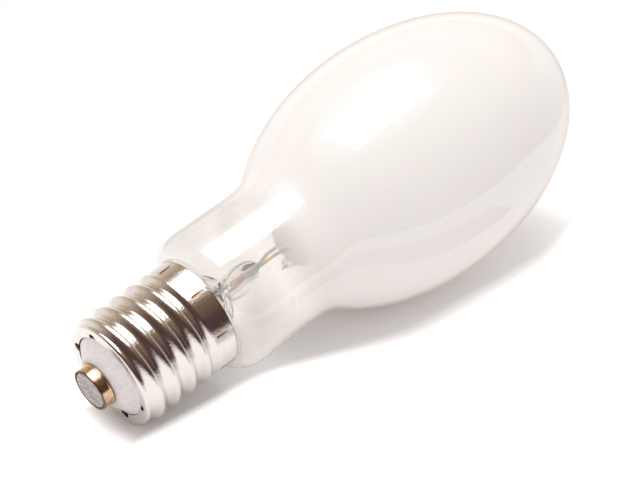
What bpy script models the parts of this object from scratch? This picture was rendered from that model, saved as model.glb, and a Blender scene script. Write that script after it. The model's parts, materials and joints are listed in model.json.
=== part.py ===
"""A 250 W class blended-light lamp with an E40 screw cap, lying on a level surface.

Every piece is modelled in the lamp's own frame: Z runs along the lamp's axis, from the face of the
centre contact to the crown of the bulb, and +X points at the surface that the lamp lies on. An empty
then lays the whole lamp down, until the cap and the belly of the bulb both touch that surface.
Lengths are in metres, angles in degrees, and heights are measured from the face of the contact.
"""

import math

import bmesh
import bpy
from mathutils import Matrix, Vector

MM = 0.001

# Room between pieces that touch on the real lamp.
SEAT = 0.3 * MM
# Room between a wire and the channel that it runs through.
WIRE_ROOM = 0.35 * MM

# Points closer than this are one point.
MERGE_DISTANCE = 0.001 * MM

# Screw cap, E40 size. Its wall starts at the end ring and ends at the rim, beside the bulb.
CREST_RADIUS = 19.6 * MM
ROOT_RADIUS = 17.9 * MM
THREAD_PITCH = 6.35 * MM
FIRST_CREST = 6.51 * MM
SHELL_WALL = 0.35 * MM
SHELL_END_HEIGHT = 7.85 * MM
SHELL_END_ROUNDING = 1.0 * MM
SHELL_OPENING_RADIUS = 14.4 * MM
THREAD_RUN_IN = 2.4 * MM
THREAD_RUN_OUT = 4.3 * MM
SKIRT_LENGTH = 6.3 * MM
SKIRT_RADIUS = 19.3 * MM
RIM_HEIGHT = 43.8 * MM
RIM_RADIUS = 19.54 * MM
SLIT_COUNT = 8
SLIT_WIDTH = 0.5 * MM
SLIT_LENGTH = 5.2 * MM
SLIT_ANGLE = 32.7
NOTCH_COUNT = 6
NOTCH_RADIUS = 1.1 * MM
NOTCH_ANGLE = 49.5
SHELL_COLUMNS = 30
ROWS_PER_PITCH = 5

# Centre contact, its solder and the insulator that carries it.
CONTACT_RADIUS = 7.2 * MM
CONTACT_DEPTH = 4.0 * MM
CONTACT_WALL = 0.5 * MM
CONTACT_EDGE = 0.4 * MM
CONTACT_RECESS = 0.1 * MM
DISH_DEPTH = 1.4 * MM
DISH_RADIUS = 6.6 * MM
SHANK_RADIUS = 3.2 * MM
RIVET_RADIUS = 4.6 * MM
SOLDER_EDGE = 0.35 * MM
SOLDER_FLAT_RADIUS = 5.2 * MM
SOLDER_PLUG_LENGTH = 2.6 * MM
INSULATOR_RECESS = 0.35 * MM
INSULATOR_THICKNESS = 4.3 * MM
INSULATOR_EDGE = 0.6 * MM
INSULATOR_FLANGE_RADIUS = 17.1 * MM
COLLAR_RADIUS = 8.6 * MM
COLLAR_SLOPE = 0.6 * MM
CAP_STEPS = 22

# Solder on the rim, where the side lead ends.
SIDE_SOLDER_SIZE = (1.3 * MM, 4.0 * MM, 2.6 * MM)
SIDE_SOLDER_EDGE = 0.4 * MM
SIDE_LEAD_ANGLE = 55.2

# Blown bulb. Its neck reaches down into the cap, its shoulder starts at the rim.
BODY_RADIUS = 45.0 * MM
BODY_RISE = 88.5 * MM
CROWN_LENGTH = 73.8 * MM
LOWER_LENGTH = 69.5 * MM
BULB_WALL = 0.9 * MM
NECK_RADIUS = 25.0 * MM
NECK_FILLET = 18.0 * MM
NECK_INSERT = 12.8 * MM
RIM_GAP = 1.4 * MM
SHOULDER_LENGTH = 10.3 * MM
SHOULDER_DEPTH = 7.0 * MM
SEAL_RADIUS = 15.8 * MM
SEAL_FILLET = 1.0 * MM
BULB_STEPS = 32

# Cement ring between the neck and the skirt.
CEMENT_DEPTH = 1.1 * MM
CEMENT_LENGTH = 4.8 * MM
CEMENT_EDGE = 0.4 * MM
CEMENT_STEPS = 24

# Stem: flare, dome and flat press.
FLARE_LIP = 1.0 * MM
FLARE_LIP_EDGE = 0.3 * MM
FLARE_LENGTH = 11.0 * MM
FLARE_TUBE_RADIUS = 8.5 * MM
FLARE_WALL = 1.0 * MM
FLARE_ARC = 72
CAVITY_ARC = 80
STEM_TUBE_LENGTH = 11.3 * MM
DOME_LENGTH = 6.0 * MM
PRESS_WAIST = 2.05 * MM
PRESS_LENGTH = 12.4 * MM
PRESS_TIP = 0.6 * MM
PRESS_HALF_THICKNESS = 4.4 * MM
PRESS_HALF_WIDTH = 9.4 * MM
PRESS_BELLY = 0.55
PRESS_BELLY_REACH = 0.62
PRESS_ANGLE = 215.7
STEM_SIDES = 20
EXHAUST_RADIUS = 2.5 * MM
EXHAUST_WALL = 0.9 * MM
EXHAUST_TIP_DROP = 5.7 * MM
EXHAUST_STEPS = 12

# Wires.
LEAD_OFFSET = 4.0 * MM
OUTER_LEAD_RADIUS = 0.35 * MM
CENTER_LEAD_SPREAD = 5.0 * MM
SIDE_LEAD_RADIUS = 0.3 * MM
SIDE_LEAD_DROP = 4.0 * MM
SIDE_LEAD_LOOP = 1.5 * MM
SIDE_LEAD_BEND = 1.2 * MM
SEAL_WIRE_RADIUS = 0.5 * MM
SEAL_WIRE_LENGTH = 6.5 * MM
SEAL_WIRE_TAIL = 1.0 * MM
ROD_RADIUS = 0.6 * MM
ROD_OFFSET = 5.0 * MM
ROD_ANGLE = 205.7
ROD_CRANK_START = 0.2 * MM
ROD_CRANK_LENGTH = 2.8 * MM
ROD_BEND_RISE = 3.5 * MM
SHORT_LEAD_DROP = 0.5 * MM
FRAME_RADIUS = 19.0 * MM
BEND = 2.4 * MM

# Insulating beads and the filament hooks.
BEAD_RADIUS = 9.0 * MM
BEAD_THICKNESS = 4.0 * MM
BEAD_EDGE = 0.6 * MM
BEAD_STEPS = 18
LOWER_BEAD_RISE = 15.0 * MM
UPPER_BEAD_GAP = 3.0 * MM
HOOK_RADIUS = 0.35 * MM
HOOK_TIP = 2.0 * MM
HOOK_BEND = 0.6 * MM
FILAMENT_RADIUS = 0.55 * MM
FILAMENT_CAGE_RADIUS = 14.0 * MM
FILAMENT_BEND = 0.5 * MM
LOWER_HOOK_ANGLES = (90, 180, 270)
UPPER_HOOK_ANGLES = (45, 135, 225, 315)

# Arc tube of quartz.
ARC_TUBE_RISE = 10.0 * MM
PINCH_LENGTH = 10.0 * MM
PINCH_HALF_THICKNESS = 1.75 * MM
PINCH_HALF_WIDTH = 6.0 * MM
ARC_BODY_LENGTH = 60.0 * MM
ARC_BODY_RADIUS = 7.5 * MM
ARC_WALL = 1.2 * MM
ARC_SHOULDER = 4.0 * MM
ARC_SIDES = 16
FOIL_THICKNESS = 0.12 * MM
FOIL_LENGTH = 6.5 * MM
FOIL_WIDTH = 3.0 * MM
FOIL_INSET = 1.5 * MM
FOIL_SLOT_PLAY = 0.9 * MM
MAIN_FOIL_OFFSET = -1.6 * MM
STARTER_FOIL_WIDTH = 2.0 * MM
STARTER_FOIL_OFFSET = 3.6 * MM
ELECTRODE_RADIUS = 0.35 * MM
ELECTRODE_COIL_RADIUS = 1.1 * MM
ELECTRODE_COIL_LENGTH = 4.0 * MM
ELECTRODE_COIL_EDGE = 0.2 * MM
ELECTRODE_REACH = 11.5 * MM
ELECTRODE_TIP = 1.0 * MM
STARTER_RADIUS = 0.25 * MM
STARTER_GAP = 0.8 * MM
STARTER_SLANT = 2.0 * MM
TIGHT_BEND = 1.0 * MM
STRAP_THICKNESS = 0.6 * MM
STRAP_WIDTH = 8.0 * MM
STRAP_MARGIN = 1.9 * MM
STRAP_INSET = 4.0 * MM
RESISTOR_RADIUS = 1.4 * MM
RESISTOR_LENGTH = 9.0 * MM
RESISTOR_EDGE = 0.3 * MM
RESISTOR_WIRE_RADIUS = 0.3 * MM
RESISTOR_DROP = 3.0 * MM

# Heights that follow from the sizes above, from the cap up to the upper bead.
CREST_HEIGHT = SHELL_END_HEIGHT + FIRST_CREST
THREAD_END = RIM_HEIGHT - SKIRT_LENGTH
FLANGE_HEIGHT = SHELL_END_HEIGHT + SHELL_WALL + SEAT
INSULATOR_BACK = FLANGE_HEIGHT + INSULATOR_THICKNESS
CEMENT_TOP = RIM_HEIGHT - CEMENT_DEPTH
SHOULDER_HEIGHT = RIM_HEIGHT + RIM_GAP + SHOULDER_LENGTH
BODY_CENTER_HEIGHT = SHOULDER_HEIGHT + BODY_RISE
NECK_END = RIM_HEIGHT - NECK_INSERT
LIP_TOP = NECK_END - SEAT
LIP_BOTTOM = LIP_TOP - FLARE_LIP
FLARE_TOP = LIP_BOTTOM + FLARE_LENGTH
EXHAUST_TIP_HEIGHT = LIP_BOTTOM - EXHAUST_TIP_DROP
DOME_START = FLARE_TOP + STEM_TUBE_LENGTH
PRESS_START = DOME_START + DOME_LENGTH
PRESS_END = PRESS_START + PRESS_LENGTH
PRESS_TOP = PRESS_END + PRESS_TIP
CAVITY_TOP = PRESS_START - FLARE_WALL
SEAL_WIRE_START = CAVITY_TOP - SEAL_WIRE_TAIL
SEAL_WIRE_END = SEAL_WIRE_START + SEAL_WIRE_LENGTH
LOWER_BEAD_HEIGHT = PRESS_TOP + LOWER_BEAD_RISE
LOWER_HOOK_HEIGHT = LOWER_BEAD_HEIGHT + BEAD_THICKNESS / 2
ROD_BEND_HEIGHT = LOWER_BEAD_HEIGHT + BEAD_THICKNESS + ROD_BEND_RISE
SHORT_LEAD_HEIGHT = ROD_BEND_HEIGHT - SHORT_LEAD_DROP
ARC_TUBE_BOTTOM = LOWER_BEAD_HEIGHT + BEAD_THICKNESS + ARC_TUBE_RISE
RESISTOR_HEIGHT = ARC_TUBE_BOTTOM - RESISTOR_DROP
ARC_LEAD_HEIGHT = RESISTOR_HEIGHT - RESISTOR_RADIUS - 2 * OUTER_LEAD_RADIUS
PINCH_TOP = ARC_TUBE_BOTTOM + PINCH_LENGTH
ARC_BODY_TOP = PINCH_TOP + ARC_BODY_LENGTH
ARC_TUBE_TOP = ARC_BODY_TOP + PINCH_LENGTH
UPPER_BEAD_HEIGHT = ARC_TUBE_TOP + UPPER_BEAD_GAP
UPPER_HOOK_HEIGHT = UPPER_BEAD_HEIGHT + BEAD_THICKNESS / 2


def clear_scene():
    for thing in list(bpy.data.objects):
        bpy.data.objects.remove(thing, do_unlink=True)


def finish(name, colour, roughness, metallic=0.0, transmission=0.0):
    material = bpy.data.materials.new(name)
    material.use_nodes = True
    shader = material.node_tree.nodes["Principled BSDF"]
    shader.inputs["Base Color"].default_value = (*colour, 1.0)
    shader.inputs["Roughness"].default_value = roughness
    shader.inputs["Metallic"].default_value = metallic
    shader.inputs["Transmission Weight"].default_value = transmission
    material.diffuse_color = (*colour, 1.0)
    return material


def polar(radius, degrees, height):
    angle = math.radians(degrees)
    return Vector((radius * math.cos(angle), radius * math.sin(angle), height))


def framed(along, across, height):
    """A point in the frame rod's plane: along points from the axis to the rod, across is square to it."""
    angle = math.radians(ROD_ANGLE)
    x = along * math.cos(angle) - across * math.sin(angle)
    y = along * math.sin(angle) + across * math.cos(angle)
    return Vector((x, y, height))


def smooth_step(value):
    value = min(max(value, 0.0), 1.0)
    return value * value * (3 - 2 * value)


def ellipse_arc(center, half_sizes, start, end, count):
    """Points (radius, height) on an ellipse, from one angle to another, both ends included."""
    angles = [math.radians(start + (end - start) * i / count) for i in range(count + 1)]
    (x, y), (wide, tall) = center, half_sizes
    return [(x + wide * math.cos(a), y + tall * math.sin(a)) for a in angles]


def add_object(name, data, material):
    piece = bpy.data.objects.new(name, data)
    data.materials.append(material)
    bpy.context.scene.collection.objects.link(piece)
    return piece


def closed_piece(name, shape, material, sharp=35):
    """Makes an object of a closed bmesh: doubles merged, faces outward, round faces smooth."""
    bmesh.ops.remove_doubles(shape, verts=shape.verts, dist=MERGE_DISTANCE)
    bmesh.ops.recalc_face_normals(shape, faces=shape.faces)
    mesh = bpy.data.meshes.new(name)
    shape.to_mesh(mesh)
    shape.free()
    mesh.shade_smooth()
    mesh.set_sharp_from_angle(angle=math.radians(sharp))
    return add_object(name, mesh, material)


def turned(name, outline, steps, material, ring=False, sharp=35):
    """Spins (radius, height) points about Z. A ring's outline is closed, another one starts and ends
    on the axis. It starts half a step round, so that a flat facet faces the surface below."""
    half_step = math.pi / steps
    shape = bmesh.new()
    verts = [shape.verts.new((r * math.cos(half_step), r * math.sin(half_step), z)) for r, z in outline]
    edges = [shape.edges.new(pair) for pair in zip(verts, verts[1:])]
    if ring:
        edges.append(shape.edges.new((verts[-1], verts[0])))
    bmesh.ops.spin(shape, geom=verts + edges, axis=(0, 0, 1), cent=(0, 0, 0), angle=math.tau, steps=steps)
    return closed_piece(name, shape, material, sharp)


def super_ring(shape, height, half_thickness, half_width, power, sides, angle):
    """A ring of vertices on a superellipse, its width along the given angle."""
    turn = Matrix.Rotation(math.radians(angle), 3, "Z")
    ring = []
    for i in range(sides):
        a = math.tau * (i + 0.5) / sides
        x = half_width * math.copysign(abs(math.cos(a)) ** (2 / power), math.cos(a))
        y = half_thickness * math.copysign(abs(math.sin(a)) ** (2 / power), math.sin(a))
        ring.append(shape.verts.new(turn @ Vector((x, y, height))))
    return ring


def skin(shape, rings):
    """Quads from each ring to the next, with the first and last ring filled."""
    for low, high in zip(rings, rings[1:]):
        for i, vert in enumerate(low):
            after = (i + 1) % len(low)
            shape.faces.new((vert, low[after], high[after], high[i]))
    shape.faces.new(list(reversed(rings[0])))
    shape.faces.new(rings[-1])


def lofted(name, stations, sides, angle, material, sharp=50):
    """stations are (height, half thickness, half width, power)."""
    shape = bmesh.new()
    skin(shape, [super_ring(shape, z, a, b, n, sides, angle) for z, a, b, n in stations])
    return closed_piece(name, shape, material, sharp)


def rounded_path(points, bend, count=3):
    """The points with each corner replaced by a parabola whose ends lie up to bend from the corner."""
    path = [points[0]]
    for before, corner, after in zip(points, points[1:], points[2:]):
        back, ahead = before - corner, after - corner
        reach = min(bend, back.length * 0.45, ahead.length * 0.45)
        start, end = corner + back.normalized() * reach, corner + ahead.normalized() * reach
        for i in range(count + 1):
            t = i / count
            path.append(start * (1 - t) ** 2 + corner * 2 * t * (1 - t) + end * t * t)
    path.append(points[-1])
    return path


def wire(name, points, radius, material, bend=BEND, resolution=2, count=3):
    """A round wire along the points, as a bevelled curve with closed ends."""
    path = rounded_path(points, bend, count)
    curve = bpy.data.curves.new(name, "CURVE")
    curve.dimensions = "3D"
    curve.bevel_depth = radius
    curve.bevel_resolution = resolution
    curve.use_fill_caps = True
    spline = curve.splines.new("POLY")
    spline.points.add(len(path) - 1)
    for point, place in zip(spline.points, path):
        point.co = (*place, 1.0)
    return add_object(name, curve, material)


def block(name, center, size, angle, material, bevel=0.0):
    """A box with its first side along the given angle, and its third along the lamp's axis."""
    shape = bmesh.new()
    place = Matrix.Translation(center) @ Matrix.Rotation(math.radians(angle), 4, "Z")
    bmesh.ops.create_cube(shape, size=1.0, matrix=place @ Matrix.Diagonal((*size, 1.0)))
    if bevel:
        bmesh.ops.bevel(shape, geom=shape.edges, offset=bevel, segments=2, affect="EDGES", profile=0.5)
    return closed_piece(name, shape, material)


def rod_cutter(shape, center, radius, length, sides=12):
    bmesh.ops.create_cone(
        shape, cap_ends=True, segments=sides, radius1=radius, radius2=radius, depth=length,
        matrix=Matrix.Translation(center),
    )


def box_cutter(shape, center, size, angle):
    place = Matrix.Translation(center) @ Matrix.Rotation(math.radians(angle), 4, "Z")
    bmesh.ops.create_cube(shape, size=1.0, matrix=place @ Matrix.Diagonal((*size, 1.0)))


def cut(piece, shape):
    """Takes the closed bodies of a bmesh away from a piece."""
    bmesh.ops.recalc_face_normals(shape, faces=shape.faces)
    mesh = bpy.data.meshes.new(piece.name + "_cutter")
    shape.to_mesh(mesh)
    shape.free()
    cutter = bpy.data.objects.new(mesh.name, mesh)
    bpy.context.scene.collection.objects.link(cutter)
    cutter.hide_render = True
    cutter.display_type = "WIRE"
    modifier = piece.modifiers.new("Cut", "BOOLEAN")
    modifier.operation = "DIFFERENCE"
    modifier.solver = "EXACT"
    modifier.object = cutter
    return cutter


def thread_radius(height, angle):
    """Outer radius of the shell's wall: a rolled round thread that rises out of the rounded end and
    runs out into the skirt. The angle is in turns, counted from the side that lies below."""
    share = (THREAD_END - height) / THREAD_RUN_OUT
    base = SKIRT_RADIUS + (ROOT_RADIUS - SKIRT_RADIUS) * smooth_step(share)
    phase = (height - CREST_HEIGHT) / THREAD_PITCH - angle
    ridge = 0.5 + 0.5 * math.cos(math.tau * phase)
    run_in = smooth_step((height - SHELL_END_HEIGHT) / THREAD_RUN_IN)
    run_out = smooth_step(2 * share)
    return base + (CREST_RADIUS - base) * ridge * run_in * run_out


def shell_column(column):
    """Points (radius, height) up one column of the shell. The rows between the ends follow the helix,
    and those that would pass an end stay on it, where they merge."""
    angle = (column + 0.5) / SHELL_COLUMNS
    low = SHELL_END_HEIGHT + SHELL_END_ROUNDING
    high = THREAD_END
    row_gap = THREAD_PITCH / ROWS_PER_PITCH
    nearest = row_gap * 0.35
    first = math.floor((low - CREST_HEIGHT) / row_gap) - ROWS_PER_PITCH
    last = math.ceil((high - CREST_HEIGHT) / row_gap)
    corner = thread_radius(low, angle) - SHELL_END_ROUNDING
    points = [(SHELL_OPENING_RADIUS, SHELL_END_HEIGHT)]
    points += ellipse_arc((corner, low), (SHELL_END_ROUNDING, SHELL_END_ROUNDING), -90, 0, 3)
    for row in range(first, last + 1):
        height = CREST_HEIGHT + THREAD_PITCH * angle + row * row_gap
        if height - low < nearest:
            height = low
        if high - height < nearest:
            height = high
        points.append((thread_radius(height, angle), height))
    points.append((RIM_RADIUS, RIM_HEIGHT))
    return [polar(radius, angle * 360, height) for radius, height in points]


def make_cap_shell(material):
    shape = bmesh.new()
    columns = [[shape.verts.new(p) for p in shell_column(i)] for i in range(SHELL_COLUMNS + 1)]
    for left, right in zip(columns, columns[1:]):
        for row in range(len(left) - 1):
            shape.faces.new((left[row], right[row], right[row + 1], left[row + 1]))
    bmesh.ops.remove_doubles(shape, verts=shape.verts, dist=MERGE_DISTANCE)
    mesh = bpy.data.meshes.new("cap_shell")
    shape.to_mesh(mesh)
    shape.free()
    mesh.shade_smooth()
    mesh.set_sharp_from_angle(angle=math.radians(60))
    shell = add_object("cap_shell", mesh, material)
    wall = shell.modifiers.new("Wall", "SOLIDIFY")
    wall.thickness = SHELL_WALL
    wall.offset = -1.0
    cutters = bmesh.new()
    for i in range(SLIT_COUNT):
        angle = SLIT_ANGLE + 360 * i / SLIT_COUNT
        center = polar(RIM_RADIUS, angle, RIM_HEIGHT)
        box_cutter(cutters, center, (6 * SHELL_WALL, SLIT_WIDTH, 2 * SLIT_LENGTH), angle)
    for i in range(NOTCH_COUNT):
        center = polar(SHELL_OPENING_RADIUS, NOTCH_ANGLE + 360 * i / NOTCH_COUNT, SHELL_END_HEIGHT)
        rod_cutter(cutters, center, NOTCH_RADIUS, 4 * SHELL_WALL)
    cutter = cut(shell, cutters)
    return [shell, cutter]


def make_insulator(material):
    face_radius = SHELL_OPENING_RADIUS - SEAT
    face_height = SHELL_END_HEIGHT + INSULATOR_RECESS
    seat_height = CONTACT_DEPTH + SEAT
    boss_radius = CONTACT_RADIUS - CONTACT_WALL - SEAT
    boss_height = DISH_DEPTH + CONTACT_WALL + SEAT
    bore = SHANK_RADIUS + SEAT
    outline = [
        (INSULATOR_FLANGE_RADIUS, INSULATOR_BACK),
        (INSULATOR_FLANGE_RADIUS, FLANGE_HEIGHT + INSULATOR_EDGE),
        (INSULATOR_FLANGE_RADIUS - INSULATOR_EDGE, FLANGE_HEIGHT),
        (face_radius, FLANGE_HEIGHT),
        (face_radius, face_height),
        (face_radius - INSULATOR_EDGE, face_height - INSULATOR_EDGE / 2),
        (COLLAR_RADIUS + COLLAR_SLOPE, seat_height + COLLAR_SLOPE),
        (COLLAR_RADIUS, seat_height + COLLAR_SLOPE / 4),
        (COLLAR_RADIUS - COLLAR_SLOPE, seat_height),
        (boss_radius, seat_height),
        (boss_radius, boss_height),
        (bore, boss_height),
        (bore, INSULATOR_BACK),
    ]
    return turned("cap_insulator", outline, CAP_STEPS, material, ring=True)


def make_contact(material):
    """A drawn cup whose dished floor holds the solder, with a shank that is riveted over the insulator."""
    inner = CONTACT_RADIUS - CONTACT_WALL
    floor = DISH_DEPTH + CONTACT_WALL
    bore = SHANK_RADIUS - CONTACT_WALL
    rivet = INSULATOR_BACK + SEAT
    outline = [
        (CONTACT_RADIUS, CONTACT_DEPTH),
        (CONTACT_RADIUS, CONTACT_RECESS + CONTACT_EDGE),
        (CONTACT_RADIUS - CONTACT_EDGE / 3, CONTACT_RECESS + CONTACT_EDGE / 3),
        (CONTACT_RADIUS - CONTACT_EDGE, CONTACT_RECESS),
        (DISH_RADIUS, CONTACT_RECESS + CONTACT_EDGE / 2),
        (DISH_RADIUS, DISH_DEPTH),
        (bore, DISH_DEPTH),
        (bore, rivet + CONTACT_WALL),
        (RIVET_RADIUS, rivet + CONTACT_WALL),
        (RIVET_RADIUS, rivet),
        (SHANK_RADIUS, rivet),
        (SHANK_RADIUS, floor),
        (inner, floor),
        (inner, CONTACT_DEPTH),
    ]
    return turned("center_contact", outline, CAP_STEPS, material, ring=True)


def make_contact_solder(material):
    radius = DISH_RADIUS - SEAT
    plug = SHANK_RADIUS - CONTACT_WALL - SEAT
    floor = DISH_DEPTH - SEAT
    end = DISH_DEPTH + SOLDER_PLUG_LENGTH
    outline = [
        (0, end),
        (plug, end),
        (plug, floor),
        (radius, floor),
        (radius, SOLDER_EDGE),
        ((radius + SOLDER_FLAT_RADIUS) / 2, SOLDER_EDGE / 4),
        (SOLDER_FLAT_RADIUS, 0),
        (0, 0),
    ]
    return turned("contact_solder", outline, CAP_STEPS, material)


def side_lead_height():
    """Height at which the side lead crosses the rim."""
    return RIM_HEIGHT + SIDE_LEAD_RADIUS + WIRE_ROOM


def side_lead_radius():
    """Distance of the side lead from the axis where it climbs beside the neck."""
    return SEAL_RADIUS + SIDE_LEAD_RADIUS + SEAT + WIRE_ROOM / 2


def make_side_solder(material):
    radial, _, axial = SIDE_SOLDER_SIZE
    top = side_lead_height() - SIDE_LEAD_RADIUS - SEAT
    center = polar(RIM_RADIUS + SEAT + radial / 2, SIDE_LEAD_ANGLE, top - axial / 2)
    return block("side_solder", center, SIDE_SOLDER_SIZE, SIDE_LEAD_ANGLE, material, SIDE_SOLDER_EDGE)


def make_cement(material):
    inner, outer = SEAL_RADIUS + SEAT, SKIRT_RADIUS - SHELL_WALL - SEAT
    bottom = CEMENT_TOP - CEMENT_LENGTH
    outline = [
        (outer - CEMENT_EDGE, CEMENT_TOP),
        (outer, CEMENT_TOP - CEMENT_EDGE),
        (outer, bottom + CEMENT_EDGE),
        (outer - CEMENT_EDGE, bottom),
        (inner, bottom),
        (inner, CEMENT_TOP),
    ]
    ring = turned("cap_cement", outline, CEMENT_STEPS, material, ring=True)
    groove = bmesh.new()
    center = polar(side_lead_radius(), SIDE_LEAD_ANGLE, CEMENT_TOP - CEMENT_LENGTH / 2)
    rod_cutter(groove, center, SIDE_LEAD_RADIUS + WIRE_ROOM, 2 * CEMENT_LENGTH)
    cutter = cut(ring, groove)
    return [ring, cutter]


def body_fillet(offset):
    """Where the fillet between neck and body touches the body's ellipse, as the ellipse's angle, with
    the fillet's centre. The centre lies a fillet radius out from both the neck and the body."""
    wide, tall = BODY_RADIUS - offset, LOWER_LENGTH - offset
    fillet = NECK_FILLET + offset
    target = NECK_RADIUS - offset + fillet
    low, high = 0.0, math.pi / 2
    for _ in range(60):
        angle = (low + high) / 2
        length = math.hypot(tall * math.cos(angle), wide * math.sin(angle))
        radius = wide * math.cos(angle) + fillet * tall * math.cos(angle) / length
        height = -tall * math.sin(angle) - fillet * wide * math.sin(angle) / length
        low, high = (angle, high) if radius > target else (low, angle)
    return math.degrees(angle), (target, BODY_CENTER_HEIGHT + height)


def bulb_outline(offset, counts):
    """The bulb's outline from the crown down to the end of its neck, offset into the glass. counts
    holds the number of points on the crown, lower body, fillet, shoulder and seal fillet."""
    crown, lower, fillet, shoulder, seal = counts
    center = (0, BODY_CENTER_HEIGHT)
    angle, fillet_center = body_fillet(offset)
    wide = BODY_RADIUS - offset
    radius = NECK_FILLET + offset
    touch = ellipse_arc(center, (wide, LOWER_LENGTH - offset), 0, -angle, 1)[-1]
    turn = math.degrees(math.atan2(touch[1] - fillet_center[1], fillet_center[0] - touch[0]))
    seal_center = (SEAL_RADIUS + SEAL_FILLET, SHOULDER_HEIGHT - SHOULDER_LENGTH - SEAL_FILLET)
    points = ellipse_arc(center, (wide, CROWN_LENGTH - offset), 90, 0, crown)
    points[0] = (0, points[0][1])
    points += ellipse_arc(center, (wide, LOWER_LENGTH - offset), 0, -angle, lower)[1:-1]
    points += ellipse_arc(fillet_center, (-radius, radius), turn, 0, fillet)
    points += ellipse_arc(
        (NECK_RADIUS - SHOULDER_DEPTH, SHOULDER_HEIGHT),
        (SHOULDER_DEPTH - offset, SHOULDER_LENGTH - offset), 0, -90, shoulder,
    )
    points += ellipse_arc(seal_center, (SEAL_FILLET + offset, SEAL_FILLET + offset), 90, 180, seal)
    points.append((SEAL_RADIUS - offset, NECK_END))
    return points


def make_bulb(material):
    outer = bulb_outline(0, (10, 6, 4, 5, 2))
    inner = bulb_outline(BULB_WALL, (6, 4, 3, 2, 1))
    return turned("outer_bulb", outer + inner[::-1], BULB_STEPS, material, sharp=50)


def flare_arc(wall, start, count):
    """Stations up a quarter ellipse that bends from the lip, near 90 degrees, into the tube, at 0."""
    across = SEAL_RADIUS - FLARE_TUBE_RADIUS + wall
    along = FLARE_LENGTH - FLARE_LIP + wall
    arc = ellipse_arc((SEAL_RADIUS, FLARE_TOP), (-across, -along), start, 0, count)
    return [(height, radius, radius, 2) for radius, height in arc]


def dome_half_thickness(share, start, end):
    """Half thickness of the dome, from the tube's radius down to the press, by its height's share."""
    return end + (start - end) * math.sqrt(max(0.0, 1 - share ** 3))


def press_stations():
    """The flat press: a bulging section that narrows towards its tip."""
    stations = []
    for share in (0.2, 0.45, 0.7, 0.9, 1.0):
        bulge = math.sqrt(1 - ((share - PRESS_BELLY) / PRESS_BELLY_REACH) ** 2)
        width = PRESS_HALF_WIDTH * (1 - max(0.0, 1.5 * share - 1) ** 2)
        stations.append((PRESS_START + PRESS_LENGTH * share, PRESS_HALF_THICKNESS * bulge, width, 2.6))
    stations.append((PRESS_TOP, PRESS_HALF_THICKNESS * 0.4, PRESS_HALF_WIDTH * 0.55, 2.6))
    return stations


def cavity_stations():
    """The stem's hollow, open at the lip and closed under the press."""
    stations = flare_arc(FLARE_WALL, CAVITY_ARC, 4)
    stations.insert(0, (LIP_BOTTOM - FLARE_LIP, *stations[0][1:]))
    tube = FLARE_TUBE_RADIUS - FLARE_WALL
    for share in (0.0, 0.5, 0.8, 1.0):
        half = dome_half_thickness(share, tube, PRESS_WAIST / 2)
        stations.append((DOME_START + (CAVITY_TOP - DOME_START) * share, half, tube, 2))
    return stations


def make_stem(material):
    chamfered = SEAL_RADIUS - FLARE_LIP_EDGE
    outer = [
        (LIP_BOTTOM, chamfered, chamfered, 2),
        (LIP_BOTTOM + FLARE_LIP_EDGE, SEAL_RADIUS, SEAL_RADIUS, 2),
        (LIP_TOP, SEAL_RADIUS, SEAL_RADIUS, 2),
    ]
    outer += flare_arc(0.0, FLARE_ARC, 4)
    for share in (0.0, 0.45, 0.72, 0.9, 1.0):
        half = dome_half_thickness(share, FLARE_TUBE_RADIUS, PRESS_WAIST)
        width = FLARE_TUBE_RADIUS + (PRESS_HALF_WIDTH - FLARE_TUBE_RADIUS) * share
        outer.append((DOME_START + DOME_LENGTH * share, half, width, 2 + 0.4 * share))
    outer += press_stations()
    stem = lofted("stem_glass", outer, STEM_SIDES, PRESS_ANGLE, material)
    inside = bmesh.new()
    skin(inside, [super_ring(inside, *station, STEM_SIDES, PRESS_ANGLE) for station in cavity_stations()])
    cutters = [cut(stem, inside)]
    channels = bmesh.new()
    low, high = DOME_START + FLARE_WALL, PRESS_TOP + FLARE_WALL
    for side in (0, 180):
        center = polar(LEAD_OFFSET, PRESS_ANGLE + side, (low + high) / 2)
        rod_cutter(channels, center, ROD_RADIUS + WIRE_ROOM, high - low, sides=10)
    cutters.append(cut(stem, channels))
    return [stem, *cutters]


def make_exhaust_tube(material):
    """The pumping stem, sealed off at its tip. Its other end seats under the slope of the dome."""
    (low, wide), (high, narrow) = [station[:2] for station in cavity_stations()[-2:]]
    top = low + (high - low) * (wide - EXHAUST_RADIUS) / (wide - narrow) - SEAT
    bore = EXHAUST_RADIUS - EXHAUST_WALL
    tip = EXHAUST_TIP_HEIGHT
    outline = [(EXHAUST_RADIUS, top)]
    outline += ellipse_arc((0, tip + EXHAUST_RADIUS), (EXHAUST_RADIUS, EXHAUST_RADIUS), 0, -90, 3)
    outline[-1] = (0, tip)
    outline += [(0, tip + 1.5 * EXHAUST_WALL), (bore, tip + EXHAUST_RADIUS), (bore, top)]
    return turned("exhaust_tube", outline, EXHAUST_STEPS, material, ring=True)


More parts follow.
